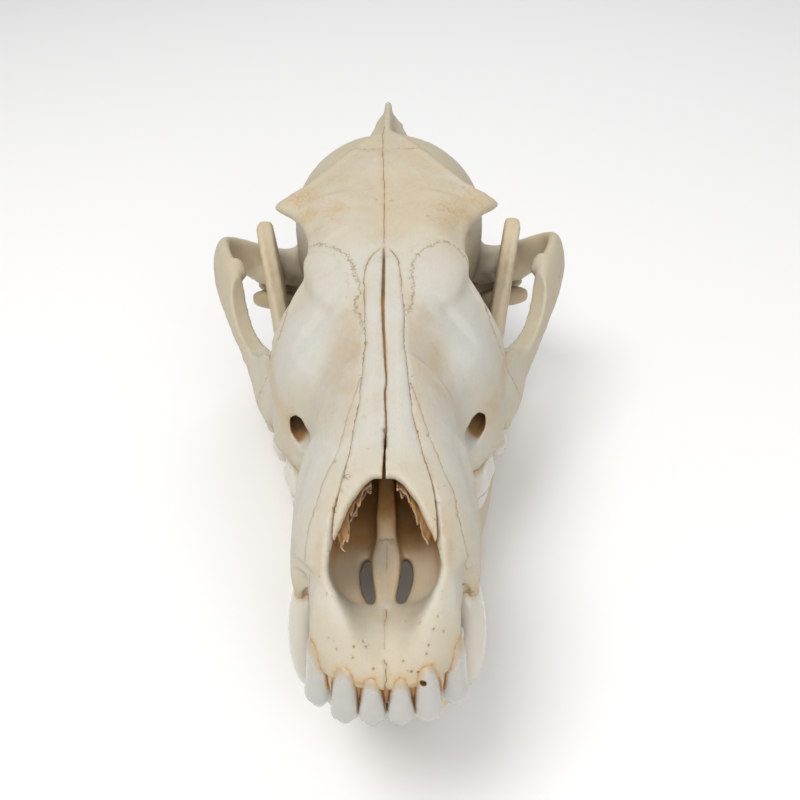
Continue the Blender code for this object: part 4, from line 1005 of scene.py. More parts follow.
jawPits = [
    ((8, 23.5, -18), 1.2, 2.2), ((13.4, 43, -20), 1, 1.8), ((16.5, 55, -22), 0.6, 1.2),
    ((24.6, 126, -5.5), 1.6, 2.4), ((2.2, 7, -14.5), 0.7, 1.2), ((3, 11, -19), 0.5, 1),
]


def makeJaw(side):
    j, finish = jawForms, jawFinish
    forms = [
        crossLoft("dentary", j["dentary"], side),
        longPlate("ramus", j["ramus"], j["ramusSides"], side, j["ramusLean"]),
        *(bar(key, j[key], side) for key in ("coronoidEdge", "condyle", "jawAngle")),
    ]
    bone = applied(
        grownTogether(joined("jaw", forms), finish["firstGrain"]), "SMOOTH", factor=0.5, iterations=4
    )
    carved(bone, grownTogether(egg("muscle bed", j["muscleBed"], side), finish["firstGrain"]))
    place = ((finish["chinGap"] / 2 - 25) * side, 20, -20)
    half = added(bpy.ops.mesh.primitive_cube_add, "other side", size=1, location=place, scale=(50, 80, 80))
    bpy.ops.object.transform_apply(location=True, rotation=True, scale=True)
    carved(bone, half)
    grownTogether(bone, finish["grain"])
    applied(bone, "SMOOTH", factor=0.5, iterations=4)
    stroked(bone, jawStrokes, surfaceTree(bone), (side,))
    pitted(bone, jawPits, surfaceTree(bone), (side,))
    spots, normals = getSpots(bone), getNormals(bone)
    rough = 0.10 * roughness(spots, 4.0, 3.0) + 0.05 * roughness(spots, 1.5, 9.0)
    setSpots(bone, spots + normals * rough[:, None])
    thinned(bone, finish["triangles"])
    storeSeams(bone)
    print("jaw half made,", triangles(bone), "triangles")
    return bone


# The teeth

# Front teeth along a path from root to tip: x, y, z, half width, half depth. Cheek teeth: centre x, y, rim z,
# length, width, height, turn, how much longer the outer side is, and the cusps: along, across, height.
teethForms = {
    "upperFront": {
        "first_incisor": [
            (2.2, 2.2, 1.4, 1.4, 1), (2.25, 0.5, 0.1, 1.65, 2.1), (2.3, -0.1, -1, 1.8, 2.65),
            (2.35, -0.8, -3.8, 1.9, 2.15), (2.35, -1.6, -6.8, 2.2, 1.2), (2.35, -1.7, -8.8, 1.85, 0.6),
        ],
        "second_incisor": [
            (6.2, 2.8, 2.6, 1.6, 1.1), (6.4, 1.1, 1.1, 1.85, 2.4), (6.5, 0.5, -0.2, 2, 2.85),
            (6.7, -0.1, -3.8, 2.25, 2.35), (6.9, -0.8, -7.2, 2.4, 1.3), (6.95, -0.8, -9.1, 1.95, 0.6),
        ],
        "third_incisor": [
            (10.5, 6.9, 4.3, 1.6, 1.5), (10.8, 5.3, 2.6, 2.1, 2.9), (11, 4.7, 0.6, 2.3, 3.1),
            (11.1, 4.1, -4.2, 2.55, 2.7), (11.5, 3.6, -7.4, 2.5, 1.9), (11.6, 3.8, -9.5, 1.7, 1),
        ],
        "canine": [
            (12.8, 23, 10, 2, 3), (14.2, 18.9, 2, 2.8, 4.4), (14.9, 17.2, -3, 3, 4.4),
            (15.3, 16.4, -9, 2.6, 3.4), (15.4, 17, -15, 1.7, 2.1), (15.2, 18, -19.2, 0.5, 0.6),
        ],
    },
    "lowerFront": {
        "first_incisor": [
            (1.75, 6.6, -14, 0.9, 1.2), (1.8, 4.9, -9.4, 1.2, 1.6), (1.85, 4.2, -6.6, 1.45, 1.4),
            (1.85, 3.9, -3.8, 1.2, 0.6),
        ],
        "second_incisor": [
            (4.1, 7.8, -14, 0.9, 1.3), (4.5, 5.9, -9.4, 1.3, 1.7), (4.7, 5.2, -6.4, 1.6, 1.5),
            (4.8, 4.9, -3.2, 1.3, 0.7),
        ],
        "third_incisor": [
            (6.2, 9.8, -14.5, 0.8, 1.3), (6.9, 8.4, -9.8, 1.25, 1.7), (7.3, 7.8, -6.4, 1.55, 1.6),
            (7.5, 7.4, -2.8, 1.3, 0.8),
        ],
        "canine": [
            (8, 21.5, -20.5, 1.9, 3), (9.2, 15.8, -13, 2.2, 3.8), (10.2, 12.7, -7.6, 1.8, 2.9),
            (12, 11.2, -3.4, 1.4, 1.8), (12.9, 11.1, -0.4, 0.6, 0.8),
        ],
    },
    "upperCheek": {
        "first_premolar": (14, 27.6, -1.6, 5.4, 3.4, 4.4, 0, 0, [(-0.1, 0.1, 1)]),
        "second_premolar": (14, 36.8, -1.6, 10.6, 4.2, 6.2, 2, 0, [(-0.1, 0.1, 1), (0.7, 0.1, 0.45)]),
        "third_premolar": (14.6, 49.2, -1.6, 11.8, 4.6, 7.2, 6, 0, [(-0.1, 0.1, 1), (0.6, 0.1, 0.55)]),
        "fourth_premolar": (
            19.9, 66, -1.4, 19, 7.6, 10.6, 17, 0.1, [(-0.2, 0.25, 1), (0.6, 0.25, 0.72), (-0.8, -0.6, 0.4)],
        ),
        "first_molar": (
            22, 82.6, -1, 11.4, 13.6, 6.6, 4, 0.25,
            [(-0.4, 0.55, 1), (0.45, 0.55, 0.85), (0.1, -0.5, 0.62)],
        ),
        "second_molar": (
            20, 93, -0.8, 7.2, 9.8, 4.2, -8, 0.2, [(-0.35, 0.5, 1), (0.4, 0.5, 0.8), (0, -0.5, 0.65)],
        ),
    },
    "lowerCheek": {
        "first_premolar": (9.2, 22.9, -11.6, 4.2, 3, 3.6, 8, 0, [(-0.2, 0, 1)]),
        "second_premolar": (9.6, 31.4, -12.3, 9, 3.8, 5.2, 8, 0, [(-0.15, 0, 1), (0.65, 0, 0.5)]),
        "third_premolar": (11.2, 43.2, -12.2, 10.2, 4.2, 5.8, 12, 0, [(-0.15, 0, 1), (0.6, 0, 0.55)]),
        "fourth_premolar": (13.6, 56.2, -12.2, 11.6, 4.8, 7, 12, 0, [(-0.15, 0, 1), (0.5, 0, 0.65)]),
        "first_molar": (
            17, 74, -11.8, 20.2, 7, 9.6, 12, 0, [(-0.15, 0.2, 1), (-0.7, 0.2, 0.75), (0.6, 0.3, 0.55)],
        ),
        "second_molar": (
            20.6, 90, -9.8, 8.8, 6.2, 4.4, 12, 0, [(-0.4, 0.4, 1), (-0.4, -0.4, 0.9), (0.5, 0.3, 0.75)],
        ),
        "third_molar": (22.6, 97.6, -7.8, 4.4, 4, 2.2, 12, 0, [(0, 0, 1)]),
    },
}

# How the crowns are finished. The rings at the base: share of the width, how deep the groove between the
# roots is, share of the height. The rings of the walls: share of the width, share of the cusps' height.
crown = {
    "rootDepth": 3.4,
    "lowest": 0.32,
    "lobes": 0.7,
    "smoothness": 9,
    "groove": 0.28,
    "base": [(0.93, 0.8, 0), (0.975, 0.5, 0.06), (1, 0.3, 0.13), (1, 0.2, 0.2)],
    "walls": [
        (0.97, 0.42), (0.92, 0.62), (0.84, 0.8), (0.74, 0.92), (0.63, 0.98), (0.52, 1), (0.41, 1), (0.3, 1),
        (0.18, 1), (0.07, 1),
    ],
}

# The decayed hole in one tooth. It is black up to the first reach of dark, and fades to the second.
toothHole = {
    "tooth": "upper_left_second_incisor", "spot": (6.1, -1.9, -0.1), "wide": 0.5, "deep": 1.7,
    "fineNear": 1.1, "dark": (0.5, 0.9),
}


def frontTooth(name, rows, side):
    # a cone-like tooth; an incisor's biting edge has a middle lobe and a smaller one on each side
    rows = smoothRows([(row[0] * side, *row[1:]) for row in rows], 7)
    total, rings = len(rows), []
    tip = (Vector(rows[-1][:3]) - Vector(rows[-3][:3])).normalized()
    for i, (x, y, z, wide, deep) in enumerate(rows):
        ahead = Vector(rows[min(i + 1, total - 1)][:3]) - Vector(rows[max(i - 1, 0)][:3])
        across = ahead.cross(Vector((0, 1, 0))).normalized()
        back = across.cross(ahead).normalized()
        t = i / (total - 1)
        ring = []
        for a in turns(32):
            c, s = squared(math.cos(a), 2.3), squared(math.sin(a), 2.1)
            point = Vector((x, y, z)) + across * wide * c + back * deep * s
            if "incisor" in name and t > 0.5:
                lobe = math.cos(abs(c) ** 1.3 * math.pi * 1.5) * 0.5 - 0.5 * abs(c) ** 3
                grow = (t - 0.5) / 0.5
                point += tip * crown["lobes"] * grow * lobe
            ring.append(tuple(point))
        rings.append(ring)
    edge, tip = np.array(rings[-1]), np.array(tip)
    centre, size = edge.mean(axis=0), min(rows[-1][3], rows[-1][4]) * 1.6
    for share, rise in ((0.72, 0.22), (0.36, 0.36), (0.08, 0.4)):
        rings.append([tuple(centre + (point - centre) * share + tip * rise * size) for point in edge])
    return tube(name, rings)


def cheekTooth(name, row, side, up):
    # a crown with rounded cusps, a swollen waist at its base, and a root with a groove between its halves
    x, y, rim, length, width, height, turn, flare, cusps = row
    direction = math.radians(turn)
    lengthwise = Vector((math.sin(direction), math.cos(direction), 0))
    across = Vector((math.cos(direction), -math.sin(direction), 0))
    twoRooted = length > 7 and width < 9
    groove = crown["groove"] if twoRooted else 0.0

    def level(s, t):
        k, heights = crown["smoothness"], []
        for back, outer, tall in cusps:
            heights.append(tall - 0.95 * math.hypot(s - back, 0.08) - 0.5 * math.hypot(t - outer, 0.1))
        return math.log(sum(math.exp(k * tall) for tall in [*heights, crown["lowest"]])) / k

    def ring(share, pinch, rise=None, wall=1.0):
        out = []
        for a in turns(40):
            s, t = share * squared(math.sin(a), 2.2), share * squared(math.cos(a), 2.2)
            narrow = 1 - groove * pinch * math.exp(-((s / 0.35) ** 2))
            place = Vector((x, y, 0)) + lengthwise * s * (1 + flare * t) * length / 2
            place += across * t * narrow * width / 2
            high = height * level(s, t) * wall if rise is None else rise
            out.append((place.x * side, place.y, rim + up * high))
        return out

    root = crown["rootDepth"]
    rings = [ring(0.7, 1, -root), ring(0.84, 1, -0.5 * root)]
    for share, pinch, rise in crown["base"]:
        rings.append(ring(share, pinch, rise * height))
    for share, wall in crown["walls"]:
        rings.append(ring(share, 0.2, None, wall))
    return tube(name, rings)


def makeTeeth():
    teeth = {}
    for jaw, up in (("upper", -1), ("lower", 1)):
        for word, side in (("left", 1), ("right", -1)):
            for kind, row in teethForms[jaw + "Front"].items():
                name = f"{jaw}_{word}_{kind}"
                teeth[name] = frontTooth(name, row, side)
            for kind, row in teethForms[jaw + "Cheek"].items():
                name = f"{jaw}_{word}_{kind}"
                teeth[name] = cheekTooth(name, row, side, up)
    holed = teeth[toothHole["tooth"]]
    for cuts in (2, 1):
        refined(holed, nearSpots(holed, [toothHole["spot"]], toothHole["fineNear"]), cuts)
    pitted(holed, [(toothHole["spot"], toothHole["wide"], toothHole["deep"])], surfaceTree(holed), (1,))
    for tooth in teeth.values():
        spots, normals = getSpots(tooth), getNormals(tooth)
        setSpots(tooth, spots + normals * (0.05 * roughness(spots, 1.6, 5.0))[:, None])
    print("teeth made,", sum(triangles(tooth) for tooth in teeth.values()), "triangles")
    return teeth


# The thin scrolls inside the nose

# How far each sheet's ragged front lies behind the nasal bones' edge, how far inside the nose's wall it lies,
# and how many points it has around and along.
scrolls = {
    "behindEdge": [0.2, 2.6, 6], "inset": [1, 2.3, 3.7], "points": (60, 30), "length": 36, "ragged": 2.4,
    "thick": 0.32,
}


def makeScrolls():
    rows = np.array(smoothRows(craniumHollows["nasalCavity"], 4))
    edge = np.array(craniumHollows["noseNotch"][1:6], float)
    around, long = scrolls["points"]
    sheets = []
    for side in (1, -1):
        for k, (behind, inset) in enumerate(zip(scrolls["behindEdge"], scrolls["inset"])):
            grid = {"x_subdivisions": around, "y_subdivisions": long, "size": 1}
            sheet = added(bpy.ops.mesh.primitive_grid_add, "nose scroll", **grid)
            spots = []
            for j in range(long + 1):
                for i in range(around + 1):
                    v = i / around
                    angle = math.radians(82 - 50 * v)
                    rag = noise.noise(Vector((v * 5 + 5 * k, side * 3.1, 1.7)))
                    rag += 0.5 * noise.noise(Vector((v * 11, side * 5.3, k)))
                    rag += 0.16 * noise.noise(Vector((v * 34, side * 2.3, k)))
                    front = np.interp(9.2 * math.cos(angle), edge[:, 0], edge[:, 1]) + behind
                    y = front + scrolls["ragged"] * rag + (j / long) ** 1.5 * scrolls["length"]
                    wide, floor, _, middle, roof = (np.interp(y, rows[:, 0], rows[:, m]) for m in range(1, 6))
                    wave = 0.3 * math.sin(y * 1.3 + 5 * v + k)
                    wave += 0.5 * noise.noise(Vector((y * 0.4, v * 9, k + side)))
                    reach = inset + wave
                    x = (wide - reach) * math.cos(angle)
                    rise = (roof - middle - reach) if angle > 0 else (middle - floor - reach)
                    spots.append((max(x, 2.3) * side, y, middle + rise * math.sin(angle)))
            setSpots(sheet, spots)
            applied(sheet, "SOLIDIFY", thickness=scrolls["thick"], offset=0)
            sheets.append(closeUp(sheet))
    thing = joined("nose_scrolls", sheets)
    storeSeams(thing)
    print("nose scrolls made,", triangles(thing), "triangles")
    return thing


# Materials


def addNode(tree, kind, **settings):
    node = tree.nodes.new(kind)
    for key, value in settings.items():
        setattr(node, key, value)
    return node


def put(tree, value, socket):
    # a link from a socket, or a plain value
    if isinstance(value, bpy.types.NodeSocket):
        tree.links.new(value, socket)
    elif isinstance(value, (tuple, list)):
        socket.default_value = (*value, 1) if len(value) == 3 and len(socket.default_value) == 4 else value
    else:
        socket.default_value = value


def maths(tree, operation, a, b=0.0, clamp=False):
    node = addNode(tree, "ShaderNodeMath", operation=operation, use_clamp=clamp)
    put(tree, a, node.inputs[0])
    put(tree, b, node.inputs[1])
    return node.outputs[0]


def times(tree, first, *others):
    for other in others:
        first = maths(tree, "MULTIPLY", first, other)
    return first


def plus(tree, a, b, share=1.0, clamp=False):
    # a and a share of b; a share under 0 takes it away
    return maths(tree, "ADD", a, b if share == 1.0 else times(tree, b, share), clamp)


def swing(tree, pattern, share):
    # a pattern's part above and below its middle
    return times(tree, maths(tree, "SUBTRACT", pattern, 0.5), share)


def step(tree, value, low, high, toLow=0.0, toHigh=1.0):
    node = addNode(tree, "ShaderNodeMapRange", interpolation_type="SMOOTHSTEP")
    for socket, given in zip(node.inputs, (value, low, high, toLow, toHigh)):
        put(tree, given, socket)
    return node.outputs[0]


def blend(tree, factor, a, b, kind="MIX"):
    node = addNode(tree, "ShaderNodeMix", data_type="RGBA", blend_type=kind)
    put(tree, factor, node.inputs[0])
    put(tree, a, node.inputs[6])
    put(tree, b, node.inputs[7])
    return node.outputs[2]


def tinted(tree, colour, tone, strength, *masks, kind="MIX"):
    return blend(tree, times(tree, *masks, strength), colour, tone, kind)


def cloud(tree, vector, scale, detail=3.0, rough=0.55, bend=0.0):
    node = addNode(tree, "ShaderNodeTexNoise")
    put(tree, vector, node.inputs["Vector"])
    for key, value in (("Scale", scale), ("Detail", detail), ("Roughness", rough), ("Distortion", bend)):
        put(tree, value, node.inputs[key])
    return node.outputs["Fac"]


def dots(tree, vector, scale, spread=1.0):
    node = addNode(tree, "ShaderNodeTexVoronoi")
    put(tree, vector, node.inputs["Vector"])
    put(tree, scale, node.inputs["Scale"])
    put(tree, spread, node.inputs["Randomness"])
    return node


def stretched(tree, vector, scale):
    node = addNode(tree, "ShaderNodeMapping")
    put(tree, vector, node.inputs["Vector"])
    node.inputs["Scale"].default_value = scale
    return node.outputs["Vector"]


def stored(tree, name):
    return addNode(tree, "ShaderNodeAttribute", attribute_name=name).outputs["Fac"]


def newGroup(name, inputs, outputs):
    group = bpy.data.node_groups.new(name, "ShaderNodeTree")
    kinds = {"value": "NodeSocketFloat", "colour": "NodeSocketColor", "vector": "NodeSocketVector"}
    for key, (kind, value) in inputs.items():
        socket = group.interface.new_socket(key, in_out="INPUT", socket_type=kinds[kind])
        socket.default_value = (*value, 1) if kind == "colour" else value
    for key, kind in outputs.items():
        group.interface.new_socket(key, in_out="OUTPUT", socket_type=kinds[kind])
    return group, group.nodes.new("NodeGroupInput"), group.nodes.new("NodeGroupOutput")


def placeGroup():
    # object coordinates in skull millimetres, so a pattern keeps its size and its place on the bone
    group, _, out = newGroup("Skull millimetres", {}, {"Vector": "vector"})
    mapping = addNode(group, "ShaderNodeMapping")
    back = Matrix.Rotation(stand["turn"], 3, "X")
    mapping.inputs["Scale"].default_value = (1000, 1000, 1000)
    mapping.inputs["Rotation"].default_value = (stand["turn"], 0, 0)
    mapping.inputs["Location"].default_value = -(back @ Vector(stand["move"])) * 1000
    put(group, addNode(group, "ShaderNodeTexCoord").outputs["Object"], mapping.inputs["Vector"])
    put(group, mapping.outputs["Vector"], out.inputs["Vector"])
    return group


def useGroup(tree, group, values=None):
    node = addNode(tree, "ShaderNodeGroup", node_tree=group)
    for key, value in (values or {}).items():
        put(tree, value, node.inputs[key])
    return node


def newMaterial(name):
    made = bpy.data.materials.new(name)
    made.use_nodes = True
    return made, made.node_tree, made.node_tree.nodes["Principled BSDF"].inputs


def bumped(tree, height, strength, distance, socket):
    bump = addNode(tree, "ShaderNodeBump")
    for key, value in (("Strength", strength), ("Distance", distance), ("Height", height)):
        put(tree, value, bump.inputs[key])
    put(tree, bump.outputs["Normal"], socket)


# The hollow share is painted shade in the hollows where bone shelters the surface; the thin glow is painted
# light showing through thin bone; the tan serves both stains and painted shade.
boneLooks = {
    "bone": {
        "Pale": (0.545, 0.535, 0.49), "Cream": (0.495, 0.43, 0.31), "Stain and shade": (0.45, 0.3, 0.14),
        "Brown": (0.13, 0.06, 0.02), "Thin glow": 0.6, "Hollow shade": 0.9, "Mottle": 0.35, "Pores": 0.9,
    },
    "jaw_bone": {
        "Pale": (0.56, 0.5, 0.4), "Cream": (0.55, 0.45, 0.3), "Stain and shade": (0.5, 0.32, 0.14),
        "Brown": (0.13, 0.06, 0.02), "Thin glow": 0.6, "Hollow shade": 0.9, "Mottle": 0.45, "Pores": 0.9,
    },
}


def boneGroup(place):
    # the skin of dry bone: pale and mottled, with painted shade in hollows, a painted glow of light where it
    # is thin, and pores and seams
    tones, shares = ("Pale", "Cream", "Stain and shade", "Brown"), ("Thin glow", "Hollow shade", "Mottle", "Pores")
    looks = boneLooks["bone"]
    given = {key: ("colour", looks[key]) for key in tones}
    given.update({key: ("value", looks[key]) for key in shares})
    g, given, out = newGroup("Dry bone", given, {"Colour": "colour", "Roughness": "value", "Height": "value"})
    given = given.outputs
    pale, cream, tan, brown = (given[key] for key in tones)
    where = useGroup(g, place).outputs["Vector"]
    names = ("hollow", "thin", "bulge", "warm", "nose", "stainAndShade")
    hollow, thin, bump, warm, nose, stainAndShade = (stored(g, key) for key in names)
    wide, middle = cloud(g, where, 0.045, 4), cloud(g, where, 0.22, 4, 0.6)
    fine, grainy = cloud(g, where, 1.1, 4, 0.65), cloud(g, where, 4.5, 3, 0.6)
    fibres = cloud(g, stretched(g, where, (1.6, 0.16, 1.6)), 1.4, 4, 0.6, 0.4)
    # pale bone, cream where it is warm, cloudy on three scales; the stored warmth also holds painted light
    # and shade by how a surface faces
    warmth = plus(g, warm, times(g, maths(g, "SUBTRACT", step(g, wide, 0.35, 0.68), 0.4), given["Mottle"]))
    warmth = plus(g, warmth, swing(g, middle, 0.55), clamp=True)
    colour = blend(g, warmth, pale, cream)
    # painted light: a warm tan glow where the bone is thin, for light shining through it
    colour = tinted(g, colour, tan, step(g, middle, 0.3, 0.75, 0.55, 1.0), thin, given["Thin glow"])
    # stains, and painted shade in the notch by the canine, between and behind the front teeth and on the
    # temple wall
    colour = tinted(g, colour, tan, step(g, middle, 0.35, 0.6, 0.25, 1.0), stainAndShade, step(g, fine, 0.25, 0.75))
    # painted shade: browner in hollows where bone shelters the surface, and the nose's inside brown, partly
    # its own stain; grooves darker and ridges lighter
    deep = maths(g, "MULTIPLY", plus(g, hollow, swing(g, middle, 0.25)), given["Hollow shade"], clamp=True)
    outside, shadeUmber = maths(g, "SUBTRACT", 1.0, nose), blend(g, 0.35, tan, brown)
    colour = tinted(g, colour, shadeUmber, outside, step(g, deep, 0.22, 0.85, 0.0, 0.55), kind="MULTIPLY")
    # inside the nose: brown that is partly stain and partly painted shade; where the value is low, the
    # multiply over 1 is painted warm light on the bowl's walls
    noseLightAndShade = blend(g, step(g, nose, 0.3, 0.9), (1.6, 1.1, 0.55), (0.95, 0.5, 0.13))
    colour = tinted(g, colour, noseLightAndShade, step(g, middle, 0.2, 0.8, 0.75, 1.0), nose, kind="MULTIPLY")
    # painted shade: near black-brown in the palate slots, the brain room, the mouth, the nose scrolls, the
    # canals, the gaps between teeth and the sockets
    colour = tinted(g, colour, blend(g, 0.4, brown, (0.13, 0.11, 0.085)), 0.92, stored(g, "dark"))
    colour = tinted(g, colour, tan, 0.4, step(g, times(g, bump, -1.0), 0.06, 0.3), kind="MULTIPLY")
    colour = tinted(g, colour, (0.66, 0.64, 0.585), 0.22, step(g, bump, 0.05, 0.3))
    # fibres and grain
    colour = tinted(g, colour, cream, 0.16, step(g, fibres, 0.5, 0.8), kind="MULTIPLY")
    colour = tinted(g, colour, (0.65, 0.63, 0.58), 0.18, step(g, fine, 0.55, 0.8))
    # pores, more of them in some places
    patch = times(g, step(g, middle, 0.46, 0.66), given["Pores"])
    near, tiny = dots(g, where, 0.85), dots(g, where, 2.3)
    size = addNode(g, "ShaderNodeSeparateColor")
    put(g, near.outputs["Color"], size.inputs[0])
    some = times(g, step(g, size.outputs[0], 0.45, 0.75), patch)
    few = times(g, step(g, fine, 0.5, 0.62), patch)
    pore = times(g, step(g, near.outputs["Distance"], 0.06, 0.17, 1.0, 0.0), some)
    pin = times(g, step(g, tiny.outputs["Distance"], 0.1, 0.26, 1.0, 0.0), few)
    colour = tinted(g, colour, blend(g, 0.5, tan, brown), 0.75, pore)
    colour = tinted(g, colour, tan, 0.35, pin)
    # seams: the stored distance wanders with the zigzag, dark in the middle and tan on both sides
    zig = maths(g, "SUBTRACT", cloud(g, where, 0.9, 2, 0.5), 0.5)
    zig = plus(g, zig, swing(g, cloud(g, where, 2.6, 2, 0.5), 0.7))
    apart = maths(g, "ABSOLUTE", plus(g, stored(g, "seam"), times(g, zig, 2.6, stored(g, "seamZigzag"))))
    dark = times(g, stored(g, "seamDark"), step(g, middle, 0.28, 0.6, 0.45, 1.0))
    line = times(g, step(g, apart, 0.05, 0.2, 1.0, 0.0), dark)
    halo = times(g, step(g, apart, 0.1, 0.9, 1.0, 0.0), dark)
    colour = tinted(g, colour, tan, 0.35, halo)
    colour = tinted(g, colour, brown, 0.9, line)
    put(g, colour, out.inputs["Colour"])
    put(g, plus(g, step(g, fine, 0.3, 0.7, 0.46, 0.62), hollow, 0.15), out.inputs["Roughness"])
    height = times(g, fine, 0.35)
    for part, share in ((grainy, 0.16), (fibres, 0.4), (pore, -1.1), (pin, -0.5), (line, -1.2)):
        height = plus(g, height, part, share)
    put(g, height, out.inputs["Height"])
    return g


def boneMaterial(name, group, looks):
    made, tree, shader = newMaterial(name)
    skin = useGroup(tree, group, looks).outputs
    put(tree, skin["Colour"], shader["Base Color"])
    put(tree, skin["Roughness"], shader["Roughness"])
    bumped(tree, skin["Height"], 0.55, 0.00018, shader["Normal"])
    shader["Specular IOR Level"].default_value = 0.4
    return made


# neck is the tan by the gum; between is painted shade, brown where teeth stand close; warm is partly the
# teeth's own cream and partly painted light for teeth in shade.
enamelLooks = {
    "pale": (0.445, 0.44, 0.42), "cream": (0.45, 0.425, 0.375), "warm": (0.6, 0.555, 0.46),
    "neck": (0.44, 0.31, 0.15), "between": (0.3, 0.14, 0.04), "crack": (0.48, 0.4, 0.28),
    "hole": (0.1, 0.06, 0.02),
}


def enamelMaterial(place):
    # glossy bluish white, tan at the neck and painted shade, brown, between teeth, with fine cracks along the
    # crown
    made, t, shader = newMaterial("enamel")
    where = useGroup(t, place).outputs["Vector"]
    neck, hollow = stored(t, "neck"), stored(t, "hollow")
    soft, fine = cloud(t, where, 0.5, 4, 0.6), cloud(t, where, 2.4, 3, 0.6)
    cracks = cloud(t, stretched(t, where, (3.2, 3.2, 0.25)), 1.0, 2, 0.5, 0.3)
    tones = enamelLooks
    colour = blend(t, step(t, soft, 0.3, 0.7), tones["pale"], tones["cream"])
    # warm: partly the cream of canines and cheek teeth, partly painted light that lifts teeth standing in
    # shade
    colour = blend(t, stored(t, "warm"), colour, tones["warm"])
    stained = plus(t, neck, swing(t, soft, 0.7), clamp=True)
    colour = blend(t, step(t, stained, 0.2, 1.0, 0.0, 0.7), colour, tones["neck"])
    # painted shade: brown where the tooth is sheltered, between teeth
    shadeBetweenTeeth = step(t, plus(t, hollow, swing(t, fine, 0.3)), 0.3, 0.6)
    colour = tinted(t, colour, tones["between"], 0.9, shadeBetweenTeeth)
    colour = tinted(t, colour, tones["crack"], 0.1, step(t, cracks, 0.66, 0.72))
    colour = blend(t, step(t, hollow, 1.05, 1.35), colour, tones["hole"])
    put(t, colour, shader["Base Color"])
    put(t, plus(t, step(t, fine, 0.3, 0.8, 0.16, 0.28), neck, 0.25), shader["Roughness"])
    bumped(t, plus(t, times(t, soft, 0.6), fine, 0.3), 0.35, 0.0001, shader["Normal"])
    shader["Coat Weight"].default_value = 0.3
    shader["Coat Roughness"].default_value = 0.12
    return made


# Putting the skull together

# Stains and painted shade on the bone: centre, reach, and how strong. Left and right are the picture's.
# Between the first teeth it is painted shade; the others here are stains.
stainAndShadeSpots = {
    "between the first teeth": ((0, -0.5, -2.5), 3.2, 1),
    "brow left": ((-14.5, 100, 50), 9, 0.85),
    "brow right": ((14.5, 100, 50), 9, 0.9),
    "nose root": ((0, 90, 47), 9, 0.25),
    "front jaw": ((2, 1, 4), 9, 0.08),
    "forehead": ((0, 116, 54), 34, 0.3),
    "crest": ((0, 180, 60), 16, 0.4),
    "neck": ((0, 190, 40), 22, 0.35),
}

# On both sides: the canine notch, between teeth, behind teeth and the temple wall are painted shade; the
# temple marks are stains.
pairedStainsAndShade = {
    "canine notch": ((14.6, 12, 1.5), 4.6, 1),
    "between teeth": ((4.5, 0.4, -2.3), 3, 1),
    "behind teeth": ((9, 3.6, -2), 3, 1),
    "temple wall": ((20, 122, 34), 20, 0.5),
    "temple": ((21, 109, 50), 9, 1),
    "temple in front": ((19, 103, 49), 7, 0.8),
}


# How much painted shade an incisor and any other tooth get where they are sheltered, and how warm all over, a
# cream that is partly their own tone and partly painted light for teeth in shade. Then how far away what
# shelters it may be, and how near the bone its neck is all tan and no longer tan.
toothTones = {"incisor": (1.0, 0.0), "other": (0.6, 0.75), "shelter": 8.0, "neck": (0.1, 1.2)}


def allStainsAndShade():
    for centre, reach, strength in stainAndShadeSpots.values():
        yield centre, reach, strength
    for (x, y, z), reach, strength in pairedStainsAndShade.values():
        for side in (1, -1):
            yield (x * side, y, z), reach, strength


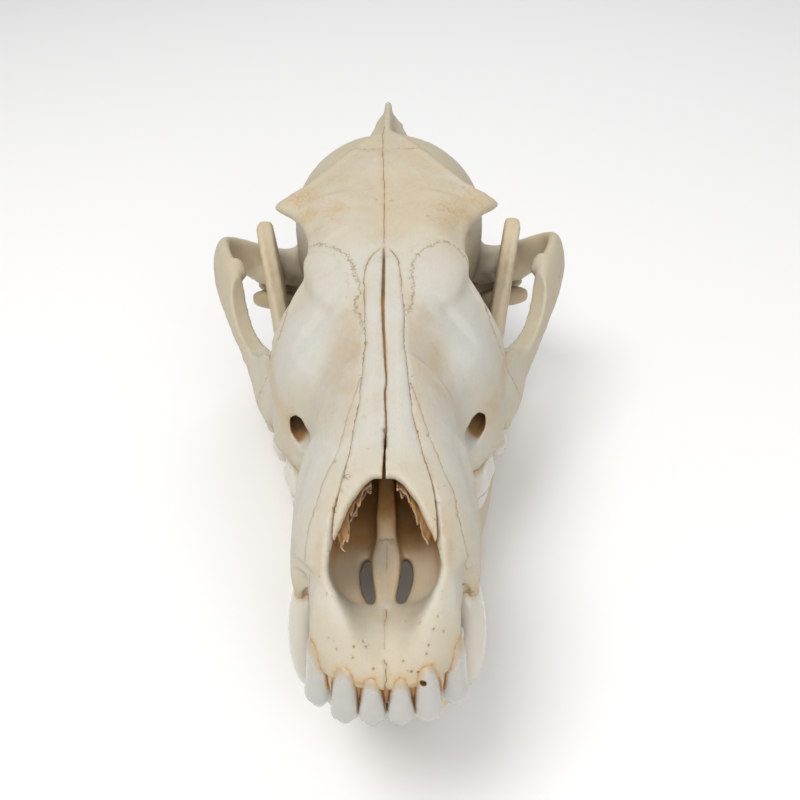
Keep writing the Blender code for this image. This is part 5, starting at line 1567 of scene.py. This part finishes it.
def storeLooks(thing, tree, teethTree, rays):
    spots, up = getSpots(thing), getNormals(thing)[:, 2]
    hollow = blurred(thing, sheltered(thing, tree, rays), 2)
    x, y, z = np.abs(spots[:, 0]), spots[:, 1], spots[:, 2]
    level = z - 0.27 * y  # height, less the rise of the nose's roof
    inNose = thing.name == "nose_scrolls"
    # where the bone is thin, for a painted glow of light, and where it is warmer and darker in tone: partly
    # the bone's own tone, partly painted light and shade
    apart = x - np.interp(y, [12, 30, 60, 90], [8.6, 5.4, 4.4, 2])
    nasals = inRange(y, 8, 16, 80, 92) * (1 - ease(apart, -0.2, 0.6)) * ease(level, 15, 19) * (up > -0.2)
    cheek = ease(x, 29, 38) * inRange(y, 84, 100, 170, 180)
    lip = (1 - ease(y, 7, 11)) * (1 - ease(z, 7, 11))
    behindBrow = ease(y, 108, 114) * (1 - ease(x, 27, 30))
    thin = blurred(thing, 1 - ease(thickness(thing, tree), 0.8, 4.5), 3)
    thin = thin * (1 - 0.9 * nasals) * (1 - 0.8 * lip) * (1 - behindBrow)
    face = inRange(y, 14, 26, 66, 92) * ease(up, 0.1, 0.6)
    forehead = inRange(y, 86, 104, 150, 170) * ease(z, 38, 46)
    tips = nasals * (1 - ease(y, 18, 34))
    # painted light on the muzzle's upward faces, which are paler, and painted shade on faces turned down; the
    # forehead and lip are darker partly in their own tone and partly as painted shade
    warm = 0.6 - 0.45 * face + 0.3 * tips + 0.4 * cheek + 0.15 * ease(y, 150, 175)
    warm = warm + 0.35 * forehead + 0.3 * lip + 0.25 * ease(-up, -0.2, 0.6)
    # the brown of the nose's inside, partly its own stain and partly painted shade where bone shelters it,
    # and painted shade in the gaps between teeth, at the sockets' edges and in the cheek canals
    nose = ease(12.4 - x, 0, 1.2) * inRange(y, 9, 12, 80, 90) * ease(z, 3.5, 5.0) * ease(hollow, 0.12, 0.24)
    nose *= 1 - ease(up, -0.1, 0.3) * ease(level, 12, 14)  # not on the outside of the roof
    # less painted shade on the lit ridge and toward the open front of the nose, more deeper in
    ridge = ease(2.6 - x, 0, 0.5) * (1 - ease(y, 24, 31))
    nose *= 0.3 + 0.7 * ease(y + 1.2 * (z - 8), 16, 29) * (1 - 0.8 * ridge)
    if inNose:
        nose[:] = 1.0
    gaps = ease(-1.0 - z, 0, 0.8) * ease(z, -8, -6) * (1 - ease(y, 6, 8)) * (1 - ease(x, 12, 13))
    gaps *= ease(hollow, 0.08, 0.3)
    sockets = closeness(thing, teethTree, 0.0, 0.6) * 0.8
    canals = np.zeros(len(spots))
    for side in (1, -1):
        canal = along(mirrored([row[:3] for row in craniumHollows["cheekCanal"]], side))
        near, gap, _, _, _ = nearPath(spots, canal, 5.0)
        canals[near] = ease(hollow[near], 0.3, 0.6) * (1 - ease(gap, 3.6, 5))
    # painted shade, darker still: the slots in the palate, the room for the brain, the mouth behind the chin
    # and the nose scrolls, and more of it over the canals, gaps and sockets
    slots = inRange(x, 1.2, 2.2, 5.6, 6.6) * inRange(y, 8, 10, 31, 34) * (1 - ease(z, 3.8, 5.0))
    slots *= ease(hollow, 0.3, 0.5)
    mouth = 0.85 * ease(9 - x, 0, 2) * inRange(y, 4, 8, 40, 50) * inRange(z, -19, -15, -6, -2)
    mouth *= ease(hollow, 0.25, 0.5)
    brainRoom = 0.7 * ease(hollow, 0.5, 0.7) * inRange(y, 118, 126, 178, 190)
    scroll = np.full(len(spots), 0.45 if inNose else 0.0)
    stainAndShade = np.zeros(len(spots))
    for centre, reach, strength in allStainsAndShade():
        away = np.linalg.norm(spots - centre, axis=1)
        stainAndShade = np.maximum(stainAndShade, strength * (1 - ease(away, reach * 0.2, reach)))
    for name, values in {
        "hollow": hollow, "bulge": bulge(thing), "thin": thin, "warm": np.clip(warm, 0, 1),
        "nose": np.maximum.reduce([nose, gaps, sockets, canals]), "stainAndShade": stainAndShade,
        "dark": np.maximum.reduce(
            [slots, brainRoom, mouth, 0.6 * canals, 0.4 * gaps, 0.45 * sockets, scroll]
        ),
    }.items():
        storeValue(thing, name, values)


def main():
    print("making the bones")
    cranium = makeCranium()
    jaws = {"left_jaw": makeJaw(1), "right_jaw": makeJaw(-1)}
    teeth = makeTeeth()
    noseScrolls = makeScrolls()
    tree = surfaceTree(cranium, *jaws.values(), *teeth.values())
    print("storing how sheltered each part is")
    teethTree, boneTree = surfaceTree(*teeth.values()), surfaceTree(cranium, *jaws.values())
    storeLooks(cranium, tree, teethTree, 14)
    for thing in (*jaws.values(), noseScrolls):
        storeLooks(thing, tree, teethTree, 12)
    for name, tooth in teeth.items():
        # the brown share is painted shade where a tooth is sheltered; warm is partly the tooth's own cream
        # and partly painted light for teeth in shade
        brown, warm = toothTones["incisor" if "incisor" in name else "other"]
        hollow = sheltered(tooth, tree, 12, toothTones["shelter"]) * brown
        if name == toothHole["tooth"]:
            away = np.linalg.norm(getSpots(tooth) - toothHole["spot"], axis=1)
            hollow += 1 - ease(away, *toothHole["dark"])
        storeValue(tooth, "hollow", hollow)
        storeValue(tooth, "warm", np.full(len(hollow), warm))
        storeValue(tooth, "neck", closeness(tooth, boneTree, *toothTones["neck"]))
    print("making the materials")
    place = placeGroup()
    skin = boneGroup(place)
    bone, jawBone = (boneMaterial(name, skin, looks) for name, looks in boneLooks.items())
    enamel = enamelMaterial(place)
    pieces = [(cranium, "cranium", bone, "bone"), (noseScrolls, None, bone, "bone")]
    pieces += [(thing, name, jawBone, "jaw_bone") for name, thing in jaws.items()]
    pieces += [(tooth, name, enamel, "enamel") for name, tooth in teeth.items()]
    for thing, node, material, slot in pieces:
        stoodUp(thing, "skull_" + (node or "nose_scrolls"))
        select(thing)
        bpy.ops.object.shade_smooth()
        thing.data.materials.clear()
        thing.data.materials.append(material)
        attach(thing, "root")
        if node:
            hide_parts(node)


# The camera stands in skull millimetres. Its lens is in pixels of a picture as wide as width says.
stage = {
    "sky": 0.5,
    "aim": (0, 0, 0.04),
    "lights": {
        "key": ((-0.28, -0.25, 0.87), 0.5, 4.5, (1.0, 0.985, 0.96)),
        "fill": ((0.12, -0.6, 0.5), 0.6, 2.1, (0.98, 0.99, 1.0)),
        "back": ((0.1, 0.6, 0.7), 0.5, 1.2, (1.0, 1.0, 1.0)),
    },
    "camera": {
        "spot": (3.504, -112.401, 105.332), "heading": -0.00417, "dip": 0.45952, "roll": -0.01625,
        "lens": 905.28,
        "width": 800,
    },
}


def makeStage():
    # a plain pale floor and soft studio light; makeCamera puts the camera at the photograph's angle
    floor = added(bpy.ops.mesh.primitive_plane_add, "floor", size=6, location=(0, 0, 0))
    paper, _, shader = newMaterial("paper")
    shader["Base Color"].default_value = (0.86, 0.86, 0.86, 1)
    shader["Roughness"].default_value = 0.9
    floor.data.materials.append(paper)
    world = bpy.context.scene.world or bpy.data.worlds.new("studio")
    bpy.context.scene.world = world
    world.use_nodes = True
    sky = world.node_tree.nodes.get("Background") or world.node_tree.nodes.new("ShaderNodeBackground")
    sky.inputs["Color"].default_value = (1.0, 1.0, 1.0, 1)
    sky.inputs["Strength"].default_value = stage["sky"]
    for name, (spot, size, power, colour) in stage["lights"].items():
        bpy.ops.object.light_add(type="AREA", location=spot)
        lamp = bpy.context.object
        lamp.name = name
        lamp.data.shape = "DISK"
        lamp.data.size = size
        lamp.data.energy = power
        lamp.data.color = colour
        lamp.rotation_euler = (Vector(stage["aim"]) - Vector(spot)).to_track_quat("-Z", "Y").to_euler()


def makeCamera():
    view = stage["camera"]
    yaw, dip, roll = view["heading"], view["dip"], view["roll"]
    ahead = Vector((math.sin(yaw) * math.cos(dip), math.cos(yaw) * math.cos(dip), -math.sin(dip)))
    right = Vector((math.cos(yaw), -math.sin(yaw), 0))
    up = right.cross(ahead)
    across = math.cos(roll) * right + math.sin(roll) * up
    upward = -math.sin(roll) * right + math.cos(roll) * up
    turn = Matrix((across, upward, -ahead)).transposed().to_4x4()
    turn.translation = Vector(view["spot"]) * 0.001
    bpy.ops.object.camera_add()
    camera = bpy.context.object
    camera.data.sensor_width = 36
    camera.data.lens = view["lens"] / view["width"] * 36
    camera.data.clip_start = 0.001
    camera.matrix_world = placed @ turn
    bpy.context.scene.camera = camera
    bpy.context.scene.view_settings.view_transform = "Standard"


main()
makeStage()
makeCamera()
